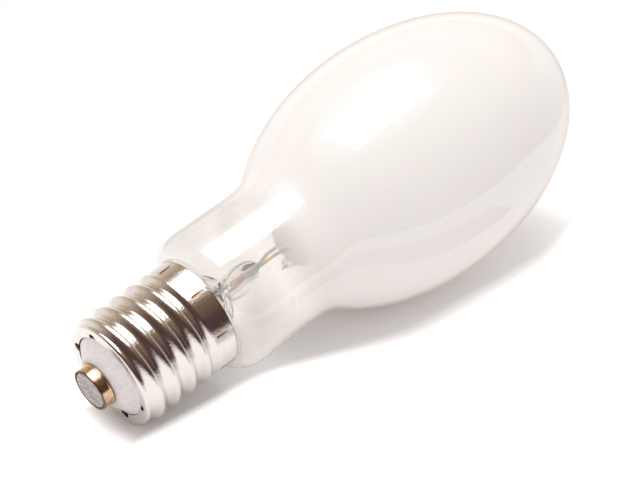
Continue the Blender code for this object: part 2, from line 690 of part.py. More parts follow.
def make_leads(outer_metal, seal_metal, inner_metal):
    """The wires through the press, from the contacts outside to the inner leads."""
    front, rear = PRESS_ANGLE, PRESS_ANGLE + 180
    end = SEAL_WIRE_START - SEAT
    center_lead = wire(
        "center_lead",
        [
            Vector((0, 0, DISH_DEPTH + SOLDER_PLUG_LENGTH + SEAT)),
            Vector((0, 0, EXHAUST_TIP_HEIGHT - CENTER_LEAD_SPREAD)),
            polar(LEAD_OFFSET, front, EXHAUST_TIP_HEIGHT),
            polar(LEAD_OFFSET, front, end),
        ],
        OUTER_LEAD_RADIUS, outer_metal,
    )
    beside, over = side_lead_radius(), side_lead_height()
    below = LIP_BOTTOM - SIDE_LEAD_LOOP
    inside = FLARE_TUBE_RADIUS * 0.72
    side_lead = wire(
        "side_lead",
        [
            polar(LEAD_OFFSET, rear, end),
            polar(LEAD_OFFSET, rear, DOME_START - SIDE_LEAD_DROP),
            polar(inside, SIDE_LEAD_ANGLE, FLARE_TOP),
            polar(inside, SIDE_LEAD_ANGLE, below),
            polar(beside, SIDE_LEAD_ANGLE, below),
            polar(beside, SIDE_LEAD_ANGLE, over),
            polar(RIM_RADIUS + SEAT + SIDE_SOLDER_SIZE[0] / 2, SIDE_LEAD_ANGLE, over),
        ],
        SIDE_LEAD_RADIUS, outer_metal, bend=SIDE_LEAD_BEND, resolution=1,
    )
    seal_wires = [
        wire(
            name,
            [polar(LEAD_OFFSET, angle, SEAL_WIRE_START), polar(LEAD_OFFSET, angle, SEAL_WIRE_END)],
            SEAL_WIRE_RADIUS, seal_metal,
        )
        for name, angle in (("front_seal_wire", front), ("rear_seal_wire", rear))
    ]
    rod_start = SEAL_WIRE_END + SEAT
    frame_rod = wire(
        "frame_rod",
        [
            polar(LEAD_OFFSET, front, rod_start),
            polar(LEAD_OFFSET, front, PRESS_TOP + ROD_CRANK_START),
            polar(ROD_OFFSET, ROD_ANGLE, PRESS_TOP + ROD_CRANK_START + ROD_CRANK_LENGTH),
            polar(ROD_OFFSET, ROD_ANGLE, ROD_BEND_HEIGHT),
            polar(FRAME_RADIUS, ROD_ANGLE, ROD_BEND_HEIGHT),
            polar(FRAME_RADIUS, ROD_ANGLE, UPPER_HOOK_HEIGHT),
            polar(BEAD_RADIUS + SEAT, ROD_ANGLE, UPPER_HOOK_HEIGHT),
        ],
        ROD_RADIUS, inner_metal,
    )
    reach = FILAMENT_CAGE_RADIUS + FILAMENT_RADIUS
    short_lead = wire(
        "short_lead",
        [
            polar(LEAD_OFFSET, rear, rod_start),
            polar(LEAD_OFFSET, rear, SHORT_LEAD_HEIGHT),
            polar(reach, ROD_ANGLE + filament_ends()[0], SHORT_LEAD_HEIGHT),
        ],
        ROD_RADIUS, inner_metal,
    )
    return [center_lead, side_lead, *seal_wires, frame_rod, short_lead]


def make_beads(material):
    pieces = []
    for name, height in (("lower_bead", LOWER_BEAD_HEIGHT), ("upper_bead", UPPER_BEAD_HEIGHT)):
        top = height + BEAD_THICKNESS
        outline = [
            (0, top),
            (BEAD_RADIUS - BEAD_EDGE, top),
            (BEAD_RADIUS, top - BEAD_EDGE),
            (BEAD_RADIUS, height + BEAD_EDGE),
            (BEAD_RADIUS - BEAD_EDGE, height),
            (0, height),
        ]
        pieces.append(turned(name, outline, BEAD_STEPS, material))
    bores = bmesh.new()
    middle = LOWER_BEAD_HEIGHT + BEAD_THICKNESS / 2
    for center in (polar(ROD_OFFSET, ROD_ANGLE, middle), polar(LEAD_OFFSET, PRESS_ANGLE + 180, middle)):
        rod_cutter(bores, center, ROD_RADIUS + SEAT, 2 * BEAD_THICKNESS)
    pieces.append(cut(pieces[0], bores))
    return pieces


def hook_step():
    """Half the filament's turn over a hook, in degrees round the lamp's axis."""
    return math.degrees((FILAMENT_RADIUS + HOOK_RADIUS + 2 * SEAT) / FILAMENT_CAGE_RADIUS)


def filament_ends():
    return UPPER_HOOK_ANGLES[0] - hook_step(), UPPER_HOOK_ANGLES[-1] + hook_step()


def make_hooks(material):
    hooks = []
    lower = ("lower", LOWER_HOOK_ANGLES, LOWER_HOOK_HEIGHT, -1)
    upper = ("upper", UPPER_HOOK_ANGLES, UPPER_HOOK_HEIGHT, 1)
    for level, angles, height, way in (lower, upper):
        for number, angle in enumerate(angles, 1):
            place = ROD_ANGLE + angle
            outer = FILAMENT_CAGE_RADIUS + FILAMENT_RADIUS + HOOK_RADIUS + 2 * SEAT
            points = [
                polar(BEAD_RADIUS + SEAT, place, height),
                polar(outer, place, height),
                polar(outer, place, height + way * HOOK_TIP),
            ]
            name = f"{level}_hook_{number}"
            hooks.append(wire(name, points, HOOK_RADIUS, material, HOOK_BEND, resolution=1, count=2))
    return hooks


def make_filament(material):
    """The ballast coil as the tube that its turns fill, looped over the upper and under the lower
    hooks in turn. It starts above the short lead and ends above the arc tube's lower lead."""
    step = hook_step()
    clear = FILAMENT_RADIUS + HOOK_RADIUS + SEAT
    start, end = filament_ends()
    start_height = SHORT_LEAD_HEIGHT + ROD_RADIUS + SEAT
    end_height = ARC_LEAD_HEIGHT + OUTER_LEAD_RADIUS + SEAT
    stops = sorted(
        [(angle, UPPER_HOOK_HEIGHT, clear) for angle in UPPER_HOOK_ANGLES]
        + [(angle, LOWER_HOOK_HEIGHT, -clear) for angle in LOWER_HOOK_ANGLES]
    )
    points = [polar(FILAMENT_CAGE_RADIUS, ROD_ANGLE + start, start_height)]
    for angle, height, passing in stops:
        for side in (-step, step):
            points.append(polar(FILAMENT_CAGE_RADIUS, ROD_ANGLE + angle + side, height + passing))
    points.append(polar(FILAMENT_CAGE_RADIUS, ROD_ANGLE + end, end_height))
    return wire("filament", points, FILAMENT_RADIUS, material, FILAMENT_BEND, resolution=1, count=2)


def make_arc_tube(material):
    """A round quartz body between two flat pinches. Slots in the pinches hold the foils."""
    flat, wide, power = PINCH_HALF_THICKNESS, PINCH_HALF_WIDTH, 5
    body, shoulder = ARC_BODY_RADIUS, ARC_SHOULDER
    middle = (flat + 2 * body) / 3
    stations = [
        (ARC_TUBE_BOTTOM, flat, wide, power),
        (PINCH_TOP - 1.0 * MM, flat, wide, power),
        (PINCH_TOP + shoulder * 0.3, middle, (wide + 2 * body) / 3, 2.4),
        (PINCH_TOP + shoulder, body, body, 2),
        (ARC_BODY_TOP - shoulder, body, body, 2),
        (ARC_BODY_TOP - shoulder * 0.3, middle, (wide + 2 * body) / 3, 2.4),
        (ARC_BODY_TOP + 1.0 * MM, flat, wide, power),
        (ARC_TUBE_TOP, flat, wide, power),
    ]
    tube = lofted("arc_tube", stations, ARC_SIDES, ROD_ANGLE, material)
    bore = ARC_BODY_RADIUS - ARC_WALL
    low, high = PINCH_TOP + ARC_WALL, ARC_BODY_TOP - ARC_WALL
    outline = ellipse_arc((0, high - shoulder), (bore, shoulder), 90, 0, 3)
    outline += ellipse_arc((0, low + shoulder), (bore, shoulder), 0, -90, 3)
    outline[0], outline[-1] = (0, high), (0, low)
    shape = bmesh.new()
    verts = [shape.verts.new((r, 0, z)) for r, z in outline]
    edges = [shape.edges.new(pair) for pair in zip(verts, verts[1:])]
    bmesh.ops.spin(shape, geom=verts + edges, axis=(0, 0, 1), cent=(0, 0, 0), angle=math.tau, steps=ARC_SIDES)
    bmesh.ops.remove_doubles(shape, verts=shape.verts, dist=MERGE_DISTANCE)
    cutters = [cut(tube, shape)]
    slots = bmesh.new()
    depth = FOIL_THICKNESS + FOIL_SLOT_PLAY
    length = PINCH_LENGTH + 4 * ARC_WALL
    below = ARC_TUBE_BOTTOM - ARC_WALL + length / 2
    above = ARC_TUBE_TOP + ARC_WALL - length / 2
    for offset, width, height in (
        (MAIN_FOIL_OFFSET, FOIL_WIDTH, below),
        (STARTER_FOIL_OFFSET, STARTER_FOIL_WIDTH, below),
        (0.0, FOIL_WIDTH, above),
    ):
        box_cutter(slots, framed(offset, 0, height), (width + 2 * SEAT, depth, length), ROD_ANGLE)
    cutters.append(cut(tube, slots))
    return [tube, *cutters]


def make_arc_fittings(foil_metal, electrode_metal, lead_metal):
    foil_low = ARC_TUBE_BOTTOM + FOIL_INSET
    foil_high = ARC_TUBE_TOP - FOIL_INSET
    pieces = []
    for name, offset, width, center in (
        ("lower_foil", MAIN_FOIL_OFFSET, FOIL_WIDTH, foil_low + FOIL_LENGTH / 2),
        ("starter_foil", STARTER_FOIL_OFFSET, STARTER_FOIL_WIDTH, foil_low + FOIL_LENGTH / 2),
        ("upper_foil", 0.0, FOIL_WIDTH, foil_high - FOIL_LENGTH / 2),
    ):
        size = (width, FOIL_THICKNESS, FOIL_LENGTH)
        pieces.append(block(name, framed(offset, 0, center), size, ROD_ANGLE, foil_metal))
    for name, offset, start, way in (
        ("lower_electrode", MAIN_FOIL_OFFSET, foil_low + FOIL_LENGTH + SEAT, 1),
        ("upper_electrode", 0.0, foil_high - FOIL_LENGTH - SEAT, -1),
    ):
        pieces.append(make_electrode(name, offset, start, way, electrode_metal))
    inner = foil_low + FOIL_LENGTH + SEAT
    tip = inner + ELECTRODE_REACH - ELECTRODE_COIL_LENGTH
    near = MAIN_FOIL_OFFSET + ELECTRODE_COIL_RADIUS + STARTER_RADIUS + STARTER_GAP
    pieces.append(
        wire(
            "starting_electrode",
            [
                framed(STARTER_FOIL_OFFSET, 0, inner),
                framed(STARTER_FOIL_OFFSET, 0, tip - STARTER_SLANT),
                framed(near, 0, tip),
            ],
            STARTER_RADIUS, electrode_metal, TIGHT_BEND, resolution=1,
        )
    )
    cage = FILAMENT_CAGE_RADIUS + FILAMENT_RADIUS
    pieces.append(
        wire(
            "lower_arc_lead",
            [
                framed(MAIN_FOIL_OFFSET, 0, foil_low - SEAT),
                framed(MAIN_FOIL_OFFSET, 0, ARC_LEAD_HEIGHT),
                polar(cage, ROD_ANGLE + filament_ends()[1], ARC_LEAD_HEIGHT),
            ],
            OUTER_LEAD_RADIUS, lead_metal,
        )
    )
    turn_height = (ARC_TUBE_TOP + UPPER_BEAD_HEIGHT) / 2
    pieces.append(
        wire(
            "upper_arc_lead",
            [
                framed(0, 0, foil_high + SEAT),
                framed(0, 0, turn_height),
                framed(FRAME_RADIUS - ROD_RADIUS - SEAT, 0, turn_height),
            ],
            OUTER_LEAD_RADIUS, lead_metal, TIGHT_BEND,
        )
    )
    pieces.append(
        wire(
            "starter_lead",
            [
                framed(STARTER_FOIL_OFFSET, 0, foil_low - SEAT),
                framed(STARTER_FOIL_OFFSET, 0, RESISTOR_HEIGHT - 2 * RESISTOR_WIRE_RADIUS),
            ],
            OUTER_LEAD_RADIUS, lead_metal,
        )
    )
    return pieces


def make_electrode(name, offset, start, way, material):
    """A rod with a coil of wire near its tip, drawn as the sleeve that the coil fills."""
    rod, coil = ELECTRODE_RADIUS, ELECTRODE_COIL_RADIUS
    low, high, tip = ELECTRODE_REACH - ELECTRODE_COIL_LENGTH, ELECTRODE_REACH, ELECTRODE_REACH + ELECTRODE_TIP
    outline = [
        (0, 0),
        (rod, 0),
        (rod, low),
        (coil, low + ELECTRODE_COIL_EDGE),
        (coil, high - ELECTRODE_COIL_EDGE),
        (rod, high),
        (rod, tip),
        (0, tip),
    ]
    electrode = turned(name, [(r, way * z) for r, z in outline], 10, material)
    electrode.data.transform(Matrix.Translation(framed(offset, 0, start)))
    return electrode


def make_resistor(material):
    """The starting resistor, a round body with a straight wire at each end, lying between the starter
    lead and the frame rod."""
    near = STARTER_FOIL_OFFSET + OUTER_LEAD_RADIUS + SEAT
    far = FRAME_RADIUS - ROD_RADIUS - SEAT
    start, end = (near + far - RESISTOR_LENGTH) / 2, (near + far + RESISTOR_LENGTH) / 2
    outline = [
        (0, near),
        (RESISTOR_WIRE_RADIUS, near),
        (RESISTOR_WIRE_RADIUS, start),
        (RESISTOR_RADIUS - RESISTOR_EDGE, start),
        (RESISTOR_RADIUS, start + RESISTOR_EDGE),
        (RESISTOR_RADIUS, end - RESISTOR_EDGE),
        (RESISTOR_RADIUS - RESISTOR_EDGE, end),
        (RESISTOR_WIRE_RADIUS, end),
        (RESISTOR_WIRE_RADIUS, far),
        (0, far),
    ]
    resistor = turned("starting_resistor", outline, 12, material)
    turn = Matrix.Rotation(math.radians(ROD_ANGLE), 4, "Z") @ Matrix.Rotation(math.pi / 2, 4, "Y")
    resistor.data.transform(Matrix.Translation((0, 0, RESISTOR_HEIGHT)) @ turn)
    return resistor


def make_straps(material):
    """Stamped plates on the frame rod that hold the arc tube's pinches."""
    pieces = []
    left = -(PINCH_HALF_WIDTH + SEAT + STRAP_MARGIN)
    right = FRAME_RADIUS + ROD_RADIUS + SEAT + STRAP_MARGIN / 2
    for name, height in (
        ("lower_strap", ARC_TUBE_BOTTOM + STRAP_INSET),
        ("upper_strap", ARC_TUBE_TOP - STRAP_INSET),
    ):
        center = framed((left + right) / 2, 0, height)
        plate = block(name, center, (right - left, STRAP_WIDTH, STRAP_THICKNESS), ROD_ANGLE, material)
        holes = bmesh.new()
        opening = (2 * (PINCH_HALF_WIDTH + SEAT), 2 * (PINCH_HALF_THICKNESS + SEAT), 4 * STRAP_THICKNESS)
        box_cutter(holes, framed(0, 0, height), opening, ROD_ANGLE)
        rod_cutter(holes, framed(FRAME_RADIUS, 0, height), ROD_RADIUS + SEAT, 4 * STRAP_THICKNESS)
        pieces += [plate, cut(plate, holes)]
    return pieces


def lowest(points, tilt):
    """How far the points reach below the axis's start when the lamp is tilted by this much."""
    return max(p.x * math.cos(tilt) - p.z * math.sin(tilt) for p in points)


def world_points(piece, graph):
    evaluated = piece.evaluated_get(graph)
    mesh = evaluated.to_mesh()
    points = [evaluated.matrix_world @ vertex.co for vertex in mesh.vertices]
    evaluated.to_mesh_clear()
    return points


def lay_down(pieces):
    """Parents the lamp to an empty and lays it on the surface: tilted until the cap's thread and the
    belly of the bulb are equally low, and centred over the origin."""
    bpy.context.view_layer.update()
    graph = bpy.context.evaluated_depsgraph_get()
    solid = [piece for piece in pieces if not piece.hide_render]
    places = {piece.name: world_points(piece, graph) for piece in solid}
    low, high = 0.0, math.radians(45)
    for _ in range(50):
        tilt = (low + high) / 2
        cap_is_lower = lowest(places["cap_shell"], tilt) > lowest(places["outer_bulb"], tilt)
        low, high = (low, tilt) if cap_is_lower else (tilt, high)
    base = bpy.data.objects.new("lamp_axis", None)
    bpy.context.scene.collection.objects.link(base)
    turn = Matrix.Rotation(math.pi / 2 - tilt, 4, "Y")
    points = [turn @ p for group in places.values() for p in group]
    ends = [(min(p[i] for p in points), max(p[i] for p in points)) for i in range(3)]
    base.rotation_euler = (0, math.pi / 2 - tilt, 0)
    base.location = (-sum(ends[0]) / 2, -sum(ends[1]) / 2, -ends[2][0])
    for piece in pieces:
        piece.parent = base


def build():
    clear_scene()
    plated = finish("plated_brass", (0.78, 0.76, 0.73), 0.12, metallic=1.0)
    brass = finish("brass", (0.72, 0.45, 0.16), 0.25, metallic=1.0)
    solder = finish("solder", (0.55, 0.55, 0.56), 0.45, metallic=1.0)
    insulator = finish("insulator", (0.72, 0.72, 0.71), 0.4)
    cement = finish("cement", (0.5, 0.24, 0.08), 0.8)
    coated = finish("coated_glass", (0.93, 0.91, 0.89), 0.1)
    glass = finish("clear_glass", (1.0, 1.0, 1.0), 0.02, transmission=1.0)
    quartz = finish("quartz", (0.98, 0.99, 1.0), 0.03, transmission=1.0)
    outer_metal = finish("lead_wire", (0.5, 0.5, 0.5), 0.3, metallic=1.0)
    seal_metal = finish("copper_seal", (0.6, 0.2, 0.12), 0.35, metallic=1.0)
    inner_metal = finish("support_wire", (0.55, 0.54, 0.5), 0.3, metallic=1.0)
    ceramic = finish("bead_ceramic", (0.88, 0.86, 0.82), 0.6)
    tungsten = finish("tungsten", (0.35, 0.35, 0.37), 0.4, metallic=1.0)
    foil_metal = finish("foil", (0.6, 0.6, 0.63), 0.3, metallic=1.0)
    resistor = finish("resistor_body", (0.2, 0.3, 0.18), 0.6)
    pieces = [
        *make_cap_shell(plated),
        make_insulator(insulator),
        make_contact(brass),
        make_contact_solder(solder),
        make_side_solder(solder),
        *make_cement(cement),
        make_bulb(coated),
        *make_stem(glass),
        make_exhaust_tube(glass),
        *make_leads(outer_metal, seal_metal, inner_metal),
        *make_beads(ceramic),
        *make_hooks(inner_metal),
        make_filament(tungsten),
        *make_arc_tube(quartz),
        *make_arc_fittings(foil_metal, tungsten, inner_metal),
        make_resistor(resistor),
        *make_straps(inner_metal),
    ]
    lay_down(pieces)


build()
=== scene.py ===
"""Looks of a blended-light lamp with a screw cap, lying on a pale studio surface.

Every shape is worked out in the lamp's own frame: z runs along the axis from the face of the centre
contact to the crown of the bulb, x points at the surface that the lamp lies on. Lengths are in metres.
"""

import json
import math

import bpy
import numpy as np
from mathutils import Euler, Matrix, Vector


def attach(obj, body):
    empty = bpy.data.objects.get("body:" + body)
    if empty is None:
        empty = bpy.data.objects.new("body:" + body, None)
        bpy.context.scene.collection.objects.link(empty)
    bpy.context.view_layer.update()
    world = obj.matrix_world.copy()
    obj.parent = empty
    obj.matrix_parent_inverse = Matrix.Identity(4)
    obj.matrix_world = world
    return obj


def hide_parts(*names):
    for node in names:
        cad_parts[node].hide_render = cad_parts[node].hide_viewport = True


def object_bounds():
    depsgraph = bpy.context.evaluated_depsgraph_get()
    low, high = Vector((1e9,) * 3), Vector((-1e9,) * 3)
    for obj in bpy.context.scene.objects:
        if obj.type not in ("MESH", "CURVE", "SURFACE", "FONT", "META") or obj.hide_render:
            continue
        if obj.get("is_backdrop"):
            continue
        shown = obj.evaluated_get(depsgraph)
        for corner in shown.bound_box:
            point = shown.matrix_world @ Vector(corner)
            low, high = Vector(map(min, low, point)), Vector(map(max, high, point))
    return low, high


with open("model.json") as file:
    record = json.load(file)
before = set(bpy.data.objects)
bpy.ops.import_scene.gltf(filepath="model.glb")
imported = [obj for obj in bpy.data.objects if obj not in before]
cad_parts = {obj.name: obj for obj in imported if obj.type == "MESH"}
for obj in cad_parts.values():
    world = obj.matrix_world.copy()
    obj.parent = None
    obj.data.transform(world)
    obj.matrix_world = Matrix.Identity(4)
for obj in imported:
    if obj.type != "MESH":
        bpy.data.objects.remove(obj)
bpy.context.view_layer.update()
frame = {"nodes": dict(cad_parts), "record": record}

bl_info = {
    "name": "Blended-light lamp",
    "version": (1, 0, 0),
    "blender": (4, 5, 0),
    "location": "3D View > Sidebar > Lamp",
    "description": "Dresses a blended-light lamp with a screw cap and sets up its studio",
    "category": "Object",
}

MM = 0.001

# The lamp's frame, from the mount on its centre contact.
CONTACT_MOUNT = frame["record"]["mounts"][0]
ORIGIN = np.array(CONTACT_MOUNT["pos_m"])
AXIS = -np.array(CONTACT_MOUNT["axis"])
AXIS /= np.linalg.norm(AXIS)
SIDE = np.array([0.0, 1.0, 0.0])
DOWN = np.cross(SIDE, AXIS)
AXES = np.array([DOWN, SIDE, AXIS])
LEAN = math.atan2(AXIS[2], AXIS[0])

# Screw cap.
CREST_RADIUS = 19.5 * MM
ROOT_RADIUS = 17.9 * MM
THREAD_PITCH = 6.35 * MM
CREST_HEIGHT = 14.36 * MM
SHELL_WALL = 0.35 * MM
SHELL_END_HEIGHT = 7.85 * MM
SHELL_END_ROUNDING = 1.0 * MM
SHELL_OPENING_RADIUS = 14.4 * MM
THREAD_RUN_IN = 2.4 * MM
THREAD_RUN_OUT = 4.3 * MM
THREAD_END = 37.5 * MM
SKIRT_RADIUS = 19.3 * MM
RIM_HEIGHT = 43.8 * MM
RIM_RADIUS = 19.54 * MM
SLIT_COUNT = 8
SLIT_WIDTH = 0.85 * MM
SLIT_LENGTH = 6.4 * MM
SLIT_ANGLE = 32.7
NOTCH_COUNT = 6
NOTCH_RADIUS = 1.76 * MM
NOTCH_ANGLE = 49.5

# Bulb.
BODY_RADIUS = 44.8 * MM
BODY_CENTER = 144.0 * MM
CROWN_LENGTH = 73.8 * MM
LOWER_LENGTH = 69.5 * MM
BULB_WALL = 0.9 * MM
NECK_RADIUS = 25.0 * MM
NECK_FILLET = 18.0 * MM
NECK_END = 31.0 * MM
SHOULDER_HEIGHT = 55.5 * MM
SHOULDER_LENGTH = 10.8 * MM
SHOULDER_DEPTH = 6.4 * MM
SEAL_RADIUS = 15.8 * MM
SEAL_FILLET = 1.0 * MM
BULB_COLUMNS = 160

# Stem and its press.
FLARE_LIP = 29.7 * MM
FLARE_TOP = 40.7 * MM
FLARE_TUBE_RADIUS = 8.5 * MM
FLARE_WALL = 1.0 * MM
DOME_START = 48.0 * MM
PRESS_START = 54.0 * MM
PRESS_LENGTH = 14.0 * MM
PRESS_TOP = 68.8 * MM
PRESS_WAIST = 2.05 * MM
PRESS_HALF_THICKNESS = 4.4 * MM
PRESS_HALF_WIDTH = 9.4 * MM
PRESS_ANGLE = 215.7
STEM_COLUMNS = 96

# Wires, filament and arc tube.
ROD_ANGLE = 205.7
LEAD_OFFSET = 4.0 * MM
SIDE_LEAD_ANGLE = 55.2
FRAME_RADIUS = 19.0 * MM
CAGE_RADIUS = 14.0 * MM
COIL_RADIUS = 0.45 * MM
COIL_WIRE_RADIUS = 0.1 * MM
COIL_PITCH = 0.62 * MM
LOWER_HOOK_HEIGHT = 88.0 * MM
UPPER_HOOK_HEIGHT = 185.0 * MM
LOWER_HOOK_ANGLES = (90, 180, 270)
UPPER_HOOK_ANGLES = (45, 135, 225, 315)
ARC_TUBE_BOTTOM = 100.0 * MM
ARC_TUBE_TOP = 180.0 * MM
PINCH_LENGTH = 10.0 * MM
ARC_BODY_RADIUS = 7.5 * MM
ARC_WALL = 1.2 * MM
ARC_SHOULDER = 4.0 * MM

# Pumping tube inside the stem.
PUMP_TIP = 24.0 * MM
PUMP_TOP = 52.2 * MM
PUMP_RADIUS = 2.5 * MM
PUMP_BORE = 1.6 * MM
PUMP_FLOOR = 1.35 * MM

# Places along the leads and the solder at the rim.
LEAD_END = 55.7 * MM
SEAL_ENDS = (56.0 * MM, 62.5 * MM)
ROD_START = 62.8 * MM
ROD_BEND = 93.5 * MM
SHORT_LEAD_END = 93.0 * MM
HOOK_GAP = 1.5 * MM
RIM_LEAD_INSIDE = 6.12 * MM
RIM_LEAD_BESIDE = 16.6 * MM
RIM_LEAD_BELOW = 28.2 * MM
RIM_LEAD_OVER = 44.45 * MM
RIM_SOLDER_RADIUS = 20.49 * MM
RIM_SOLDER_HEIGHT = 42.55 * MM
RIM_SOLDER_SIZES = (0.65 * MM, 2.0 * MM, 1.3 * MM)

# Turned profiles of the cap's end: points (radius, height) in millimetres.
CONTACT_PROFILE = (
    (7.2, 4.0), (7.4, 3.95), (7.4, 3.6), (7.2, 3.4), (7.2, 0.1), (6.6, 0.25), (6.6, 1.4), (2.7, 1.4),
    (2.7, 13.5), (4.6, 13.5), (4.6, 13.0), (3.2, 13.0), (3.2, 1.9), (6.7, 1.9), (6.7, 4.0),
)
INSULATOR_PROFILE = (
    (17.1, 12.8), (17.1, 9.9), (14.25, 9.9), (14.25, 8.15), (13.6, 7.9), (9.2, 4.9), (8.6, 4.35),
    (8.0, 4.15), (6.4, 4.15), (6.4, 2.2), (3.5, 2.2), (3.5, 12.8),
)
INSULATOR_SHIFT = (0.12 * MM, 300)
CEMENT_PROFILE = ((18.65, 42.3), (18.65, 37.9), (16.1, 37.9), (16.1, 42.5), (17.4, 42.7))
SOLDER_RADIUS = 6.3 * MM
SOLDER_EDGE = (1.0 * MM, 0.4 * MM)
SOLDER_BACK = ((0.0, 4.0), (2.4, 4.0), (2.4, 1.1), (6.3, 1.1))

# Second colours of the finishes, where they are stained, worn or thin, and colours of painted shade and
# glow.
TARNISH = (0.60, 0.42, 0.28)
CUT_EDGE = (0.30, 0.17, 0.08)
OXIDE = (0.16, 0.10, 0.07)
DARK_SOLDER = (0.22, 0.19, 0.19)
# Painted warm shade and reflected brass on the insulator round the contact.
WARM_PAINTED_SHADE = (0.58, 0.50, 0.42)
# Painted shade on the insulator where it runs under the shell's end.
SHADE_UNDER_SHELL = (0.10, 0.06, 0.04)
GREY_SMUDGE = (0.42, 0.40, 0.39)
SPECK = (0.55, 0.45, 0.38)
CLOUD = (0.68, 0.63, 0.60)
# Painted glow of the powder coat, standing for light scattered in the powder: where the coat starts, beyond
# it, and on its inner side.
COAT_PAINTED_GLOW = ((0.27, 0.268, 0.266), (0.10, 0.098, 0.096), (0.40, 0.395, 0.39))
HAZE_AT_RIM = 0.42
HAZE_FADE = 9.0 * MM
COAT_IN_SHADOW = 0.8
COAT_EDGE_SPAN = (10.0 * MM, 8.0 * MM)
CEMENT = (0.72, 0.36, 0.14)
PALE_CEMENT = (0.90, 0.86, 0.82)
BURNT_CEMENT = (0.20, 0.10, 0.05)
NICKEL_WIRE = (0.50, 0.49, 0.46)
HEAT_GILT = (0.66, 0.50, 0.24)

# The stage in metres: corners (x, y) of its sheets, the floor's painted shadow, and what the surround
# shows.
FLOOR_CORNERS = ((-0.45, -0.22), (0.30, 0.26))
# A grey card that only gloss sees: it paints a dark band into the lamp's reflections.
CARD_CORNERS = ((-0.06, -0.117), (0.095, -0.070))
CARD_COLOUR = (0.42, 0.39, 0.38)
SHEET_GAP = 0.02 * MM
# The floor's glow, and the painted shadow: the lamp-shaped mask outside which the floor glows.
FLOOR_GLOW = 0.62
FLOOR_GLOW_IN_GLOSS = 0.2
SHADOW_WIDENS = (-0.055, 0.015)
SHADOW_HALF_WIDTHS = (0.0155, 0.039)
SHADOW_NARROWS = (0.075, 0.13)
SHADOW_TIP = 0.6
SHADOW_EDGE = (0.64, 1.0)
SHADOW_STARTS = (-0.096, -0.106)
SHADOW_ENDS = (0.10, 0.145)
SOFTBOX_GLOW = 5.5
SOFTBOX_FACE_DROP = 0.004
SURROUND_RADIUS = 2.5
ACROSS = (0.454, 0.891, 0.0)
OVERHEAD = (-0.05, 0.118, 0.992)
FAR_TONES = ((0.98, 0.93, 0.91), (0.66, 0.55, 0.42), (0.24, 0.16, 0.10))
NEAR_TONES = ((0.09, 0.05, 0.05), (0.18, 0.12, 0.085))
HALO_TONES = ((0.30, 0.21, 0.14), (1.1, 1.06, 1.02))

# The photograph's viewpoint.
CAMERA_PLACE = (-0.31851478, -0.31741075, 0.28213761)
CAMERA_AIM = (0.60870099, 0.62135447, -0.4933576)
CAMERA_LENS = 84.375


def length_property(name, description, default):
    return bpy.props.FloatProperty(
        name=name, description=description, default=default, subtype="DISTANCE", unit="LENGTH")


def share_property(name, description, default):
    return bpy.props.FloatProperty(
        name=name, description=description, default=default, min=0.0, max=1.0, subtype="FACTOR")


def colour_property(name, description, default):
    return bpy.props.FloatVectorProperty(
        name=name, description=description, default=default, size=3, subtype="COLOR", min=0.0, max=1.0)


class LampShape(bpy.types.PropertyGroup):
    """Where the bulb's haze and powder coat start, and how much the haze hides"""

    haze_start: length_property(
        "Haze start", "Height at which the thin haze of powder starts to show", 42.0 * MM)
    haze_full: length_property("Haze full", "Height from which the thin haze is even", 50.0 * MM)
    haze: share_property("Haze", "How much of the view the thin haze hides", 0.17)
    haze_within: share_property(
        "Haze from within", "How much the thin haze hides where its inner side is seen", 0.70)
    coat_start: length_property("Coat start", "Height at which the dense powder coat starts", 56.0 * MM)
    coat_full: length_property("Coat full", "Height from which the coat covers the glass", 82.0 * MM)
    coat_depth: length_property("Coat depth", "How far the powder grips into the inner wall", 0.04 * MM)


class LampColours(bpy.types.PropertyGroup):
    """Colours of the lamp's finishes"""

    coat: colour_property(
        "Powder coat", "Colour of the fluorescent powder inside the bulb", (0.78, 0.755, 0.735))
    coat_edge: colour_property(
        "Coat edge", "Colour of the thin powder where the coat starts", (0.47, 0.435, 0.41))
    plating: colour_property("Plating", "Colour of the shell's nickel plating", (0.80, 0.77, 0.74))
    brass: colour_property("Brass", "Colour of the centre contact's brass", (0.74, 0.52, 0.34))
    solder: colour_property("Solder", "Colour of the solder", (0.47, 0.43, 0.42))
    insulator: colour_property("Insulator", "Colour of the cap's insulator", (0.79, 0.76, 0.755))


class LampStudio(bpy.types.PropertyGroup):
    """The softbox over the lamp, the fill and the surface under it"""

    softbox_power: bpy.props.FloatProperty(
        name="Softbox power", description="Power of the softbox over the lamp",
        default=5.7, min=0.0, unit="POWER",
    )
    softbox_size: bpy.props.FloatVectorProperty(
        name="Softbox size", description="Length and width of the softbox",
        default=(0.85, 0.77), size=2, subtype="XYZ_LENGTH", unit="LENGTH",
    )
    softbox_place: bpy.props.FloatVectorProperty(
        name="Softbox place", description="Middle of the softbox",
        default=(-0.015, 0.12, 1.09), size=3, subtype="TRANSLATION", unit="LENGTH",
    )
    fill: colour_property("Fill", "Soft light from all round", (0.82, 0.795, 0.785))
    floor_colour: colour_property(
        "Floor", "Colour of the surface that the lamp lies on", (0.88, 0.865, 0.86))


def lamp_to_world(points):
    """Points of the lamp's frame in the scene: the origin plus x, y and z times the three axes."""
    return ORIGIN + np.asarray(points) @ AXES


def polar(radius, degrees, height):
    """A point at this distance and angle from the axis, at this height."""
    angle = math.radians(degrees)
    return np.array([radius * math.cos(angle), radius * math.sin(angle), height])


def smooth_step(value):
    """3v^2 - 2v^3, with v held between 0 and 1."""
    value = np.clip(value, 0.0, 1.0)
    return value * value * (3 - 2 * value)


def ellipse_arc(center, half_sizes, start, end, count):
    """Points (radius, height) on an ellipse: the centre plus the half sizes times cosine and sine."""
    angles = np.radians(np.linspace(start, end, count + 1))
    return np.column_stack([
        center[0] + half_sizes[0] * np.cos(angles),
        center[1] + half_sizes[1] * np.sin(angles),
    ])


